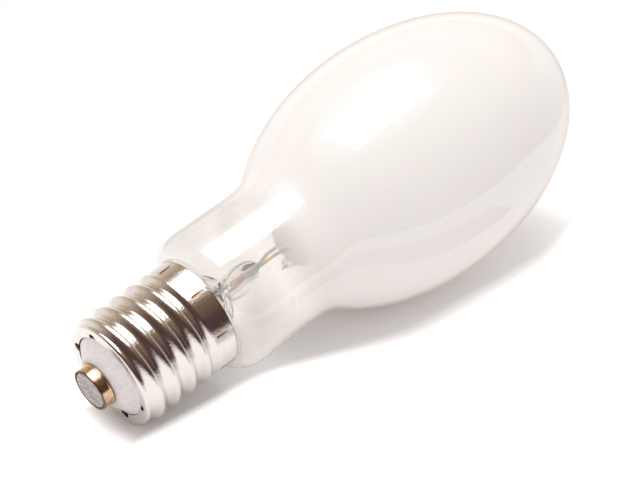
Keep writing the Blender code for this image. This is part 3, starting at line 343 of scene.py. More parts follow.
def rounded(points, reach, count=6):
    """The corners of a polyline replaced by parabolas that start and end reach before and after them,
    or at 0.45 of a shorter leg."""
    points = [np.asarray(p, float) for p in points]
    path = [points[0]]
    steps = np.linspace(0.0, 1.0, count + 1)[:, None]
    for before, corner, after in zip(points, points[1:], points[2:]):
        back, ahead = before - corner, after - corner
        back_length, ahead_length = np.linalg.norm(back), np.linalg.norm(ahead)
        length = min(reach, back_length * 0.45, ahead_length * 0.45)
        start, end = corner + back / back_length * length, corner + ahead / ahead_length * length
        path.extend(start * (1 - steps) ** 2 + corner * 2 * steps * (1 - steps) + end * steps ** 2)
    path.append(points[-1])
    return np.array(path)


def unit(vectors):
    """Each vector over its length."""
    return vectors / np.linalg.norm(vectors, axis=1)[:, None]


def lengths_along(path):
    """The path's length up to each of its points: the running sum of its legs."""
    return np.concatenate([[0.0], np.cumsum(np.linalg.norm(np.diff(path, axis=0), axis=1))])


def resampled(path, step):
    """The path with evenly spaced points, about one step apart, by linear interpolation over length."""
    lengths = lengths_along(path)
    places = np.linspace(0.0, lengths[-1], max(2, int(lengths[-1] / step) + 1))
    return np.column_stack([np.interp(places, lengths, values) for values in path.T])


def eased(path, reach, step):
    """The path with even steps, each point the average of its neighbours under a bell curve of this
    reach, so that the curvature changes slowly. Beyond its ends the path goes on point-mirrored."""
    even = resampled(path, step)
    count = int(3 * reach / step)
    weights = np.exp(-0.5 * (np.arange(-count, count + 1) * step / reach) ** 2)
    weights /= weights.sum()
    padded = np.pad(even, ((count, count), (0, 0)), mode="reflect", reflect_type="odd")
    return np.column_stack([np.convolve(padded[:, i], weights, "valid") for i in range(2)])


def signed_volume(points, triangles):
    """A sixth of the sum of a dot (b cross c) over the triangles, positive where they face outward."""
    a, b, c = (points[triangles[:, i]] - points.mean(axis=0) for i in range(3))
    return np.einsum("ij,ij->i", a, np.cross(b, c)).sum() / 6


def grid(points, loop=False, poles=(False, False), inward=False, sheet=False):
    """Faces between neighbouring points of a grid (rows, columns, 3) whose columns run round. loop
    joins the last row to the first; a pole row is one point. A closed body faces outward, or inward
    where it is a hollow, by the sign of its volume."""
    rows, columns = points.shape[:2]
    index = np.arange(rows * columns).reshape(rows, columns)
    for end, is_pole in zip((0, -1), poles):
        if is_pole:
            index[end] = index[end, 0]
    index = np.concatenate([index, index[:, :1]], axis=1)
    if loop:
        index = np.concatenate([index, index[:1]], axis=0)
    corners = np.stack([index[:-1, :-1], index[:-1, 1:], index[1:, 1:], index[1:, :-1]], axis=-1)
    fans = []
    if poles[0]:
        fans.append(corners[0][:, [1, 2, 3]])
        corners = corners[1:]
    if poles[1]:
        fans.append(corners[-1][:, [0, 1, 2]])
        corners = corners[:-1]
    quads = corners.reshape(-1, 4)
    fans = np.concatenate(fans) if fans else np.empty((0, 3), int)
    points = points.reshape(-1, 3)
    if not sheet:
        triangles = np.concatenate([quads[:, :3], quads[:, [0, 2, 3]], fans])
        if (signed_volume(points, triangles) < 0) != inward:
            quads, fans = quads[:, ::-1], fans[:, ::-1]
    return points, quads, fans


def closed(points):
    """The faces of a body whose first and last rows are poles."""
    return grid(points, poles=(True, True))


def revolved(outline, columns):
    """A profile carried round the axis: radius times cosine and sine of the column's angle, height."""
    outline = np.asarray(outline)
    angles = np.linspace(0.0, math.tau, columns, endpoint=False)
    return np.stack([
        outline[:, :1] * np.cos(angles),
        outline[:, :1] * np.sin(angles),
        np.broadcast_to(outline[:, 1:], (len(outline), columns)),
    ], axis=-1)


def bent(values, power):
    """The values' sizes raised to a power, with their signs kept."""
    return np.sign(values) * np.abs(values) ** power


def capped(rings, tips=None):
    """The rings between two poles: the tips, or else the middles of the end rings."""
    tips = (rings[0].mean(axis=0), rings[-1].mean(axis=0)) if tips is None else tips
    first, last = (np.broadcast_to(tip, (1, *rings.shape[1:])) for tip in tips)
    return np.concatenate([first, rings, last])


def lofted(stations, columns, degrees):
    """Superellipses stacked along the axis. A station is (height, half thickness, half width, power),
    and a point is half width and half thickness times cosine and sine raised to 2 / power, turned."""
    height, thick, wide, power = np.asarray(stations, float).T[:, :, None]
    angles = np.linspace(0.0, math.tau, columns, endpoint=False)
    cosine, sine = np.cos(angles), np.sin(angles)
    across = wide * bent(cosine, 2 / power)
    along = thick * bent(sine, 2 / power)
    turn = math.radians(degrees)
    return np.stack([
        across * math.cos(turn) - along * math.sin(turn),
        across * math.sin(turn) + along * math.cos(turn),
        np.broadcast_to(height, across.shape),
    ], axis=-1)


def tube(path, radius, sides, reference=None):
    """A circle carried along a path: each point plus the radius times cosine and sine of two
    directions square to the tangent. The ends are drawn in to a point."""
    tangents = unit(np.gradient(path, axis=0))
    if reference is None:
        reference = np.linalg.svd(path - path.mean(axis=0))[2][-1]
    first = unit(np.cross(np.broadcast_to(reference, tangents.shape), tangents))
    second = np.cross(tangents, first)
    angles = np.linspace(0.0, math.tau, sides, endpoint=False)[None, :, None]
    ring = first[:, None] * np.cos(angles) + second[:, None] * np.sin(angles)
    return capped(path[:, None] + radius * ring, (path[0], path[-1]))


def new_object(name, parts, place=lamp_to_world):
    """An object of several grids, without the points that no face uses. Its points are given in the
    lamp's frame, unless place is another function."""
    starts = np.cumsum([0] + [len(points) for points, _, _ in parts])
    points = np.concatenate([points for points, _, _ in parts])
    quads = np.concatenate([quads + start for (_, quads, _), start in zip(parts, starts)])
    fans = np.concatenate([fans + start for (_, _, fans), start in zip(parts, starts)])
    used = np.zeros(len(points), bool)
    used[quads] = True
    used[fans] = True
    order = np.cumsum(used) - 1
    mesh = bpy.data.meshes.new(name)
    mesh.from_pydata(place(points[used]).tolist(), [], order[quads].tolist() + order[fans].tolist())
    mesh.update()
    made = bpy.data.objects.new(name, mesh)
    bpy.context.scene.collection.objects.link(made)
    return made


def add_piece(name, parts, finish, nodes=(), sharp=None, change=None):
    piece = new_object(name, parts)
    if change:
        change(piece)
    piece.data.shade_smooth()
    if sharp:
        piece.data.set_sharp_from_angle(angle=math.radians(sharp))
    piece.data.materials.clear()
    piece.data.materials.append(finish)
    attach(piece, "root")
    if nodes:
        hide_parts(*nodes)
    return piece


def cut_away(cutters):
    """A change that takes closed grids away from a piece with an exact Boolean, and keeps the result."""
    def change(piece):
        cutter = new_object("cutter", cutters)
        modifier = piece.modifiers.new("Cut", "BOOLEAN")
        modifier.operation = "DIFFERENCE"
        modifier.solver = "EXACT"
        modifier.object = cutter
        graph = bpy.context.evaluated_depsgraph_get()
        done = bpy.data.meshes.new_from_object(piece.evaluated_get(graph))
        piece.modifiers.clear()
        piece.data = done
        bpy.data.objects.remove(cutter)
    return change


def box_grid(center, size, degrees):
    """A box whose first side points away from the axis: its corners are the centre plus or minus half
    of each side, as two rings of four between poles."""
    turn = math.radians(degrees)
    cosine, sine = math.cos(turn), math.sin(turn)
    sides = np.array([(cosine, sine, 0.0), (-sine, cosine, 0.0), (0.0, 0.0, 1.0)])
    signs = [[(x, y, z) for x, y in ((-1, -1), (1, -1), (1, 1), (-1, 1))] for z in (-1, 1)]
    rows = center + (np.array(signs) * np.asarray(size) / 2) @ sides
    return closed(capped(rows))


def rod_grid(center, radius, length, sides=24):
    """A short rod along the axis: a rectangle carried round it."""
    outline = [(0, -length / 2), (radius, -length / 2), (radius, length / 2), (0, length / 2)]
    return closed(revolved(outline, sides) + center)


def feed(tree, made, values):
    """Links or sets a node's input sockets by name or number."""
    for key, value in dict(values).items():
        if isinstance(value, bpy.types.NodeSocket):
            tree.links.new(value, made.inputs[key])
        else:
            made.inputs[key].default_value = value


def new_finish(name, colour, roughness, metallic=0.0):
    material = bpy.data.materials.new(name)
    material.use_nodes = True
    shader = material.node_tree.nodes["Principled BSDF"]
    feed(material.node_tree, shader, {
        "Base Color": (*colour, 1.0), "Roughness": roughness, "Metallic": metallic,
    })
    return material, material.node_tree, shader


def node(tree, kind, values=(), **settings):
    """A node with its settings and inputs."""
    made = tree.nodes.new(kind)
    for key, value in settings.items():
        setattr(made, key, value)
    feed(tree, made, values)
    return made


def lamp_vector(tree):
    """Object coordinates turned into the lamp's frame, in metres."""
    coordinates = tree.nodes.new("ShaderNodeTexCoord").outputs["Object"]
    turn = Euler((0.0, math.pi / 2 - LEAN, 0.0))
    mapping = node(tree, "ShaderNodeMapping", {
        "Vector": coordinates, "Location": tuple(ORIGIN), "Rotation": tuple(turn),
    }, vector_type="TEXTURE")
    return mapping.outputs["Vector"]


def parts_of(tree, vector):
    """The vector's X, Y and Z sockets."""
    return node(tree, "ShaderNodeSeparateXYZ", {0: vector}).outputs


def rays(tree):
    return tree.nodes.new("ShaderNodeLightPath").outputs


def band(tree, value, low, high, to=(0.0, 1.0)):
    """A smooth step of a value from low to high."""
    return node(tree, "ShaderNodeMapRange", {
        "Value": value, "From Min": low, "From Max": high, "To Min": to[0], "To Max": to[1],
    }, interpolation_type="SMOOTHSTEP").outputs["Result"]


def math_node(tree, operation, first, second=0.0):
    return node(tree, "ShaderNodeMath", {0: first, 1: second}, operation=operation).outputs[0]


def times(tree, first, second):
    return math_node(tree, "MULTIPLY", first, second)


def largest(tree, first, *others):
    for other in others:
        first = math_node(tree, "MAXIMUM", first, other)
    return first


def vector_node(tree, operation, output, *values):
    made = node(tree, "ShaderNodeVectorMath", enumerate(values), operation=operation)
    return made.outputs[output]


def mixed(tree, share, first, second):
    """Colour between the first and the second by the share."""
    made = node(tree, "ShaderNodeMix", data_type="RGBA")
    for name, value in (("Factor", share), ("A", first), ("B", second)):
        socket = next(s for s in made.inputs if s.name == name and s.enabled)
        if isinstance(value, bpy.types.NodeSocket):
            tree.links.new(value, socket)
        else:
            socket.default_value = value if name == "Factor" else (*value[:3], 1.0)
    return next(s for s in made.outputs if s.enabled)


def grain_group():
    """Fine grain: two layers of noise, the finer at four times the scale, added with weights. Puts out
    the height, and a mask of the coarse layer for smudges."""
    name = "Fine grain"
    if name in bpy.data.node_groups:
        return bpy.data.node_groups[name]
    group = bpy.data.node_groups.new(name, "ShaderNodeTree")
    group.interface.new_socket("Vector", in_out="INPUT", socket_type="NodeSocketVector")
    for label in ("Scale", "Fine share"):
        group.interface.new_socket(label, in_out="INPUT", socket_type="NodeSocketFloat")
    for label in ("Height", "Smudges"):
        group.interface.new_socket(label, in_out="OUTPUT", socket_type="NodeSocketFloat")
    given = group.nodes.new("NodeGroupInput").outputs
    end = group.nodes.new("NodeGroupOutput")
    coarse, fine = (
        node(group, "ShaderNodeTexNoise", {
            "Vector": given["Vector"], "Scale": scale, "Detail": detail,
        }).outputs[0]
        for scale, detail in ((given["Scale"], 3.0), (times(group, given["Scale"], 4.0), 2.0))
    )
    feed(group, end, {
        "Height": math_node(group, "ADD", coarse, times(group, fine, given["Fine share"])),
        "Smudges": band(group, coarse, 0.42, 0.66),
    })
    return group


def grain(tree, vector, scale, fine_share=0.5):
    """The height and the smudges of the fine grain."""
    made = node(tree, "ShaderNodeGroup", node_tree=grain_group())
    feed(tree, made, {"Vector": vector, "Scale": scale, "Fine share": fine_share})
    return made.outputs["Height"], made.outputs["Smudges"]


def bump(tree, shader, height, distance):
    made = node(tree, "ShaderNodeBump", {"Height": height, "Distance": distance})
    feed(tree, shader, {"Normal": made.outputs["Normal"]})


def plating_finish(colours):
    """Nickel plating over brass: bright and grainy, with fine lines rolled along the thread, faint
    smudges, tarnish beside the slits and a brown cut edge at the rim."""
    material, tree, shader = new_finish("Nickel plating", colours.plating, 0.12, 1.0)
    vector = lamp_vector(tree)
    texture = grain(tree, vector, scale=1600.0, fine_share=0.3)[0]
    cloud, smudges = grain(tree, vector, scale=160.0, fine_share=0.3)
    place = parts_of(tree, vector)
    height = place["Z"]
    rim = band(tree, height, RIM_HEIGHT - 0.22 * MM, RIM_HEIGHT - 0.12 * MM)
    near_rim = band(tree, height, RIM_HEIGHT - 7 * MM, RIM_HEIGHT - 5 * MM)
    tarnish = times(tree, times(tree, smudges, near_rim), 0.25)
    colour = mixed(tree, tarnish, colours.plating, TARNISH)
    feed(tree, shader, {
        "Base Color": mixed(tree, rim, colour, CUT_EDGE),
        "Roughness": band(tree, cloud, 0.3, 1.0, (0.03, 0.08)),
    })
    back = [times(tree, place[name], -1.0) for name in ("Y", "X")]
    climb = times(tree, math_node(tree, "ARCTAN2", *back), -THREAD_PITCH / math.tau)
    lines = node(tree, "ShaderNodeTexNoise", {
        "W": math_node(tree, "ADD", height, climb), "Scale": 2600.0, "Detail": 3.0,
    }, noise_dimensions="1D")
    on_thread = band(tree, height, THREAD_END + MM, THREAD_END - MM, (0.0, 0.7))
    rolled = times(tree, lines.outputs[0], on_thread)
    bump(tree, shader, math_node(tree, "ADD", texture, rolled), 0.055 * MM)
    return material


def brass_finish(colours):
    """Drawn brass, oxidised at its mouth and along the bead at its foot."""
    material, tree, shader = new_finish("Contact brass", colours.brass, 0.2, 1.0)
    vector = lamp_vector(tree)
    texture, smudges = grain(tree, vector, scale=900.0)
    height = parts_of(tree, vector)["Z"]
    mouth = band(tree, height, 0.9 * MM, 0.25 * MM)
    foot = times(tree, band(tree, height, 3.72 * MM, 3.9 * MM), 0.8)
    dark = largest(tree, mouth, foot, times(tree, smudges, 0.3))
    feed(tree, shader, {"Base Color": mixed(tree, dark, colours.brass, OXIDE)})
    bump(tree, shader, texture, 0.003 * MM)
    return material


def solder_finish(colours):
    """Dull solder, filed flat: facets of light and dark grey with streaks across them."""
    material, tree, shader = new_finish("Solder", colours.solder, 0.45, 0.65)
    vector = lamp_vector(tree)
    texture, smudges = grain(tree, vector, scale=1100.0, fine_share=0.8)
    streaked = vector_node(tree, "MULTIPLY", "Vector", vector, (1.0, 0.35, 1.0))
    facets = node(tree, "ShaderNodeTexVoronoi", {"Vector": streaked, "Scale": 1400.0})
    tone = parts_of(tree, facets.outputs["Color"])["X"]
    low, high = ([share * c for c in colours.solder] for share in (0.72, 1.3))
    colour = mixed(tree, tone, low, high)
    feed(tree, shader, {"Base Color": mixed(tree, times(tree, smudges, 0.3), colour, DARK_SOLDER)})
    bump(tree, shader, math_node(tree, "ADD", texture, tone), 0.12 * MM)
    return material


def grained_finish(name, colour, dark, roughness, scale, depth, metallic=0.0, share=0.4, layers=None):
    """A finish with fine grain and a share of darker smudges. layers gives pairs of a mask and a colour
    that lie over the first colour, one over the other."""
    material, tree, shader = new_finish(name, colour, roughness, metallic)
    vector = lamp_vector(tree)
    texture, smudges = grain(tree, vector, scale)
    for mask, tint in layers(tree, vector) if layers else ():
        colour = mixed(tree, mask, colour, tint)
    feed(tree, shader, {"Base Color": mixed(tree, times(tree, smudges, share), colour, dark)})
    bump(tree, shader, texture, depth)
    return material


def insulator_layers(tree, vector):
    """Painted warm shade round the contact, and painted shade where the insulator runs under the shell."""
    flat = vector_node(tree, "MULTIPLY", "Vector", vector, (1.0, 1.0, 0.0))
    radius = vector_node(tree, "LENGTH", "Value", flat)
    return (
        (band(tree, radius, 9.8 * MM, 7.4 * MM, (0.0, 0.8)), WARM_PAINTED_SHADE),
        (band(tree, parts_of(tree, vector)["Z"], 8.5 * MM, 8.8 * MM), SHADE_UNDER_SHELL),
    )


def cement_layers(tree, vector):
    """Paler cement toward its open end."""
    return ((band(tree, parts_of(tree, vector)["Z"], 40.0 * MM, 41.2 * MM), PALE_CEMENT),)


def gilded_layers(tree, vector):
    """Gold tint from the heat above the press."""
    height = parts_of(tree, vector)["Z"]
    heated = times(tree, band(tree, height, 73 * MM, 74 * MM), band(tree, height, 81 * MM, 78 * MM))
    return ((heated, HEAT_GILT),)


def glass_finish(name, colour, ior, edge=None):
    """Clear glass, with a painted dark outline where it is seen edge on. Shadow and diffuse light pass
    straight through it."""
    material, tree, shader = new_finish(name, colour, 0.0)
    if edge:
        # Painted outline: a brown tint where the glass is seen edge on stands for the dark that its edge
        # reflects.
        layer = node(tree, "ShaderNodeLayerWeight", {"Blend": 0.5})
        outline = band(tree, layer.outputs["Facing"], 0.70, 0.90)
        feed(tree, shader, {"Base Color": mixed(tree, outline, colour, edge)})
    path = rays(tree)
    passing = largest(tree, path["Is Shadow Ray"], path["Is Diffuse Ray"])
    feed(tree, shader, {
        "Transmission Weight": 1.0, "IOR": ior, "Alpha": math_node(tree, "SUBTRACT", 1.0, passing),
    })
    return material


def coat_finish(shape, colours):
    """Fluorescent powder on the inner wall. A thin haze lies over the neck, denser near the rim and
    where its inner side is seen. The coat itself is brownish where it starts, then dense and warm
    white, with a few specks and faint clouds. It lets part of the light into the bulb, and has a painted
    glow that stands for the light scattered in the powder, stronger where it starts and on its inner side."""
    material, tree, shader = new_finish("Powder coat", colours.coat, 1.0)
    vector = lamp_vector(tree)
    height = parts_of(tree, vector)["Z"]
    clouds = grain(tree, vector, scale=70.0, fine_share=0.2)[1]
    in_shadow = rays(tree)["Is Shadow Ray"]
    inside = tree.nodes.new("ShaderNodeNewGeometry").outputs["Backfacing"]
    within = times(tree, inside, band(tree, in_shadow, 0.0, 1.0, (1.0, 0.0)))
    facing = band(tree, height, shape.haze_full, shape.haze_full + HAZE_FADE, (HAZE_AT_RIM, shape.haze))
    haze = node(tree, "ShaderNodeMapRange", {
        "Value": within, "To Min": facing, "To Max": shape.haze_within,
    })
    thin = times(tree, band(tree, height, shape.haze_start, shape.haze_full), haze.outputs["Result"])
    density = largest(tree, thin, band(tree, height, shape.coat_start, shape.coat_full))
    kept = band(tree, in_shadow, 0.0, 1.0, (1.0, COAT_IN_SHADOW))
    begun = band(tree, height, shape.coat_start + COAT_EDGE_SPAN[0], shape.coat_full + COAT_EDGE_SPAN[1])
    specks = node(tree, "ShaderNodeTexVoronoi", {"Vector": vector, "Scale": 120.0})
    speck = times(tree, band(tree, specks.outputs["Distance"], 0.05, 0.03), 0.35)
    colour = mixed(tree, speck, mixed(tree, begun, colours.coat_edge, colours.coat), SPECK)
    # Painted glow: emission that stands for the light scattered in the powder.
    at_start, beyond, inner = COAT_PAINTED_GLOW
    feed(tree, shader, {
        "Base Color": mixed(tree, times(tree, clouds, 0.06), colour, CLOUD),
        "Specular IOR Level": 0.0,
        "Alpha": times(tree, density, kept),
        "Emission Color": mixed(tree, inside, mixed(tree, begun, at_start, beyond), inner),
        "Emission Strength": 1.0,
    })
    return material


def glow_finish(name, strength=1.0):
    """Black and matt, for stage pieces that only give off light."""
    material, tree, shader = new_finish(name, (0.0, 0.0, 0.0), 1.0)
    feed(tree, shader, {
        "Specular IOR Level": 0.0, "Emission Color": (1.0, 1.0, 1.0, 1.0), "Emission Strength": strength,
    })
    return material, tree, shader


def body_fillet(offset):
    """Where the fillet between neck and body touches the body's ellipse. The fillet's centre lies its
    radius out from the neck and from the ellipse; the angle is found by halving."""
    wide, tall = BODY_RADIUS - offset, LOWER_LENGTH - offset
    fillet = NECK_FILLET + offset
    target = NECK_RADIUS - offset + fillet
    low, high = 0.0, math.pi / 2
    for _ in range(60):
        angle = (low + high) / 2
        length = math.hypot(tall * math.cos(angle), wide * math.sin(angle))
        radius = wide * math.cos(angle) + fillet * tall * math.cos(angle) / length
        height = -tall * math.sin(angle) - fillet * wide * math.sin(angle) / length
        low, high = (angle, high) if radius > target else (low, angle)
    return math.degrees(angle), (target, BODY_CENTER + height)


def shoulder(offset):
    """A quarter of a superellipse of exponent 2.5 from the neck down and in to the rim. Its curvature
    is nothing at both ends, so it runs on from the straight neck without a break."""
    angles = np.radians(np.linspace(0, 90, 27))
    return np.column_stack([
        NECK_RADIUS - SHOULDER_DEPTH + (SHOULDER_DEPTH - offset) * np.cos(angles) ** 0.8,
        SHOULDER_HEIGHT - (SHOULDER_LENGTH - offset) * np.sin(angles) ** 0.8,
    ])


def bulb_outline(offset):
    """Crown and lower ellipse, concave fillet and neck, eased into each other, then the shoulder
    and the seal, all offset into the glass."""
    center = (0, BODY_CENTER)
    angle, fillet_center = body_fillet(offset)
    wide, radius = BODY_RADIUS - offset, NECK_FILLET + offset
    lower = (wide, LOWER_LENGTH - offset)
    touch = ellipse_arc(center, lower, 0, -angle, 1)[-1]
    turn = math.degrees(math.atan2(touch[1] - fillet_center[1], fillet_center[0] - touch[0]))
    seal_center = (SEAL_RADIUS + SEAL_FILLET, SHOULDER_HEIGHT - SHOULDER_LENGTH - SEAL_FILLET)
    crown = ellipse_arc(center, (wide, CROWN_LENGTH - offset), 90, 0, 56)
    crown[0, 0] = 0.0
    fillet = ellipse_arc(fillet_center, (-radius, radius), turn, 0, 40)
    side = np.concatenate([
        ellipse_arc(center, lower, 0, -angle, 60)[:-1], fillet,
        [(NECK_RADIUS - offset, SHOULDER_HEIGHT)],
    ])
    return np.concatenate([
        crown,
        eased(side, 2.8 * MM, 1.1 * MM)[1:-1],
        shoulder(offset),
        ellipse_arc(seal_center, (SEAL_FILLET + offset,) * 2, 90, 180, 6)[1:],
        [(SEAL_RADIUS - offset, NECK_END)],
    ])


def thread_radius(height, turns):
    """Outer radius of the rolled shell: the root rises into the skirt by a smooth step, and a raised
    cosine whose phase climbs one pitch a turn lifts it to the crest. Smooth steps fade the ridge in
    over the rounded end and out into the skirt."""
    share = (THREAD_END - height) / THREAD_RUN_OUT
    base = SKIRT_RADIUS + (ROOT_RADIUS - SKIRT_RADIUS) * smooth_step(share)
    ridge = 0.5 + 0.5 * np.cos(math.tau * ((height - CREST_HEIGHT) / THREAD_PITCH - turns))
    run_in = smooth_step((height - SHELL_END_HEIGHT) / THREAD_RUN_IN)
    return base + (CREST_RADIUS - base) * ridge * run_in * smooth_step(2 * share)


def shell_surface(columns=384):
    """Closed profile of the shell's wall for every column: the end ring, its rounding, the thread, the
    skirt and the rim outside, then the same less the wall inside."""
    turns = np.arange(columns) / columns
    low = SHELL_END_HEIGHT + SHELL_END_ROUNDING
    corner = thread_radius(low, turns) - SHELL_END_ROUNDING
    inner = SHELL_END_ROUNDING - SHELL_WALL
    rows = [(SHELL_OPENING_RADIUS, SHELL_END_HEIGHT)]
    rows += [
        (corner + SHELL_END_ROUNDING * math.cos(angle), low + SHELL_END_ROUNDING * math.sin(angle))
        for angle in np.radians(np.linspace(-90, 0, 9))
    ]
    rows += [(thread_radius(height, turns), height) for height in np.linspace(low, THREAD_END, 112)[1:]]
    rows += [
        (SKIRT_RADIUS + (RIM_RADIUS - SKIRT_RADIUS) * share, THREAD_END + (RIM_HEIGHT - THREAD_END) * share)
        for share in np.linspace(0.0, 1.0, 7)[1:]
    ]
    rows += [(RIM_RADIUS - SHELL_WALL, RIM_HEIGHT), (SKIRT_RADIUS - SHELL_WALL, THREAD_END)]
    rows += [
        (thread_radius(height, turns) - SHELL_WALL, height)
        for height in np.linspace(THREAD_END, low, 56)[1:]
    ]
    rows += [
        (corner + inner * math.cos(angle), low + inner * math.sin(angle))
        for angle in np.radians(np.linspace(0, -90, 5))[1:]
    ]
    rows.append((SHELL_OPENING_RADIUS, SHELL_END_HEIGHT + SHELL_WALL))
    radius, height = (np.array([np.broadcast_to(row[i], columns) for row in rows]) for i in (0, 1))
    angle = math.tau * turns
    return np.stack([radius * np.cos(angle), radius * np.sin(angle), height], axis=-1)


def dome_half_thickness(share, start, end):
    """Half thickness of the dome: falls with the root of 1 - share^3 from the tube to the press."""
    return end + (start - end) * np.sqrt(np.maximum(0.0, 1 - share ** 3))


def flare_stations(wall, start, count):
    """A quarter ellipse that bends from the lip into the tube."""
    across = SEAL_RADIUS - FLARE_TUBE_RADIUS + wall
    along = FLARE_TOP - FLARE_LIP - FLARE_WALL + wall
    arc = ellipse_arc((SEAL_RADIUS, FLARE_TOP), (-across, -along), start, 0, count)
    return [(height, radius, radius, 2) for radius, height in arc]


def stem_surface():
    """The stem from the tip of its press down its outside to the lip, and back up its hollow."""
    shares = np.linspace(0.0, 1.0, 19)[1:]
    bulge = np.sqrt(1 - ((shares - 0.55) / 0.62) ** 2)
    widths = PRESS_HALF_WIDTH * (1 - np.maximum(0.0, 1.5 * shares - 1) ** 2)
    press = [
        (PRESS_START + PRESS_LENGTH * share, PRESS_HALF_THICKNESS * thick, wide, 2.6)
        for share, thick, wide in zip(shares, bulge, widths)
    ]
    tip = np.radians(np.linspace(20, 80, 5))
    last_thick, last_wide = press[-1][1:3]
    press += [
        (PRESS_START + PRESS_LENGTH + (PRESS_TOP - PRESS_START - PRESS_LENGTH) * math.sin(a),
         last_thick * math.cos(a), last_wide - last_thick * (1 - math.cos(a)), 2.6)
        for a in tip
    ]
    outer = [(FLARE_LIP + edge, SEAL_RADIUS, SEAL_RADIUS, 2) for edge in (0.3 * MM, FLARE_WALL)]
    outer += flare_stations(0.0, 72, 18)
    for share in np.linspace(0.0, 1.0, 17):
        half = dome_half_thickness(share, FLARE_TUBE_RADIUS, PRESS_WAIST)
        wide = FLARE_TUBE_RADIUS + (PRESS_HALF_WIDTH - FLARE_TUBE_RADIUS) * share
        outer.append((DOME_START + (PRESS_START - DOME_START) * share, half, wide, 2 + 0.4 * share))
    outer += press
    hollow = flare_stations(FLARE_WALL, 80, 18)
    hollow.insert(0, (FLARE_LIP, *hollow[0][1:]))
    inner_radius = FLARE_TUBE_RADIUS - FLARE_WALL
    top = PRESS_START - FLARE_WALL
    for share in np.linspace(0.0, 1.0, 13):
        half = dome_half_thickness(share, inner_radius, PRESS_WAIST / 2)
        wide = inner_radius * (1 - 0.25 * share ** 4)
        hollow.append((DOME_START + (top - DOME_START) * share, half, wide, 2))
    return capped(lofted(outer[::-1] + hollow, STEM_COLUMNS, PRESS_ANGLE))


def filament_path():
    """Centre line of the ballast filament: a zigzag over the upper and under the lower hooks."""
    step = math.degrees(HOOK_GAP / CAGE_RADIUS)
    clear = 1.2 * MM
    stops = sorted(
        [(angle, UPPER_HOOK_HEIGHT, clear) for angle in UPPER_HOOK_ANGLES]
        + [(angle, LOWER_HOOK_HEIGHT, -clear) for angle in LOWER_HOOK_ANGLES]
    )
    places = [(UPPER_HOOK_ANGLES[0] - step, 93.9 * MM)]
    for angle, height, passing in stops:
        places += [(angle - step, height + passing), (angle + step, height + passing)]
    places.append((UPPER_HOOK_ANGLES[-1] + step, 95.55 * MM))
    arcs = [(math.radians(a) * CAGE_RADIUS, h, 0.0) for a, h in places]
    flat = resampled(rounded(arcs, 1.4 * MM), COIL_PITCH / 10)
    angle = flat[:, 0] / CAGE_RADIUS + math.radians(ROD_ANGLE)
    return np.column_stack([CAGE_RADIUS * np.cos(angle), CAGE_RADIUS * np.sin(angle), flat[:, 1]])


def coil_surface():
    """The filament's wire: a circle carried along a helix, which itself winds round the zigzag. The
    helix is the path plus the coil's radius times cosine and sine of two directions square to it."""
    path = filament_path()
    tangents = unit(np.gradient(path, axis=0))
    out = unit(path * (1.0, 1.0, 0.0))
    across = np.cross(tangents, out)
    phase = (math.tau * lengths_along(path) / COIL_PITCH)[:, None]
    helix = path + COIL_RADIUS * (out * np.cos(phase) + across * np.sin(phase))
    return tube(helix, COIL_WIRE_RADIUS, 3, tangents)


def arc_tube_parts():
    """Round quartz body between two flat pinches, and its hollow."""
    flat, wide, body = 1.75 * MM, 6.0 * MM, ARC_BODY_RADIUS
    shares = np.linspace(0.0, 1.0, 11)
    ease = smooth_step(shares)
    lower = [(ARC_TUBE_BOTTOM, flat * 0.9, wide * 0.97, 5), (ARC_TUBE_BOTTOM + 0.3 * MM, flat, wide, 5)]
    start = ARC_TUBE_BOTTOM + PINCH_LENGTH - MM
    lower += [
        (start + (ARC_SHOULDER + MM) * s, flat + (body - flat) * e, wide + (body - wide) * e, 5 - 3 * e)
        for s, e in zip(shares, ease)
    ]
    mirror = ARC_TUBE_BOTTOM + ARC_TUBE_TOP
    upper = [(mirror - h, *rest) for h, *rest in lower[::-1]]
    outside = closed(capped(lofted(lower + upper, 48, ROD_ANGLE)))
    bore = body - ARC_WALL
    low = ARC_TUBE_BOTTOM + PINCH_LENGTH + ARC_WALL
    high = mirror - low
    outline = np.concatenate([
        ellipse_arc((0, high - ARC_SHOULDER), (bore, ARC_SHOULDER), 90, 0, 10),
        ellipse_arc((0, low + ARC_SHOULDER), (bore, ARC_SHOULDER), 0, -90, 10),
    ])
    outline[[0, -1], 0] = 0.0
    inside = grid(revolved(outline, 48), poles=(True, True), inward=True)
    return [outside, inside]


def solder_rings():
    """The solder that fills the cup: a flat disc with a rounded edge and a plug behind. Its face rises
    by a set height plus a sum of slow waves, less at the edge."""
    quarter = np.radians(np.linspace(0, 90, 9))
    edge = np.column_stack([
        SOLDER_RADIUS - SOLDER_EDGE[0] * (1 - np.cos(quarter)), SOLDER_EDGE[1] * (1 - np.sin(quarter)),
    ])
    face = np.column_stack([np.linspace(5.3, 0.0, 22)[1:] * MM, np.zeros(21)])
    rings = revolved(np.concatenate([np.array(SOLDER_BACK) * MM, edge, face]), 96)
    x, y = rings[..., 0], rings[..., 1]
    wave = np.sin(900 * x + 1.0) * np.cos(1100 * y) + np.sin(1700 * y + 700 * x)
    fade = smooth_step((5.6 * MM - np.hypot(x, y)) / (2 * MM)) * (rings[..., 2] < 0.5 * MM)
    rings[..., 2] += fade * (0.10 * MM + 0.04 * MM * wave)
    return rings


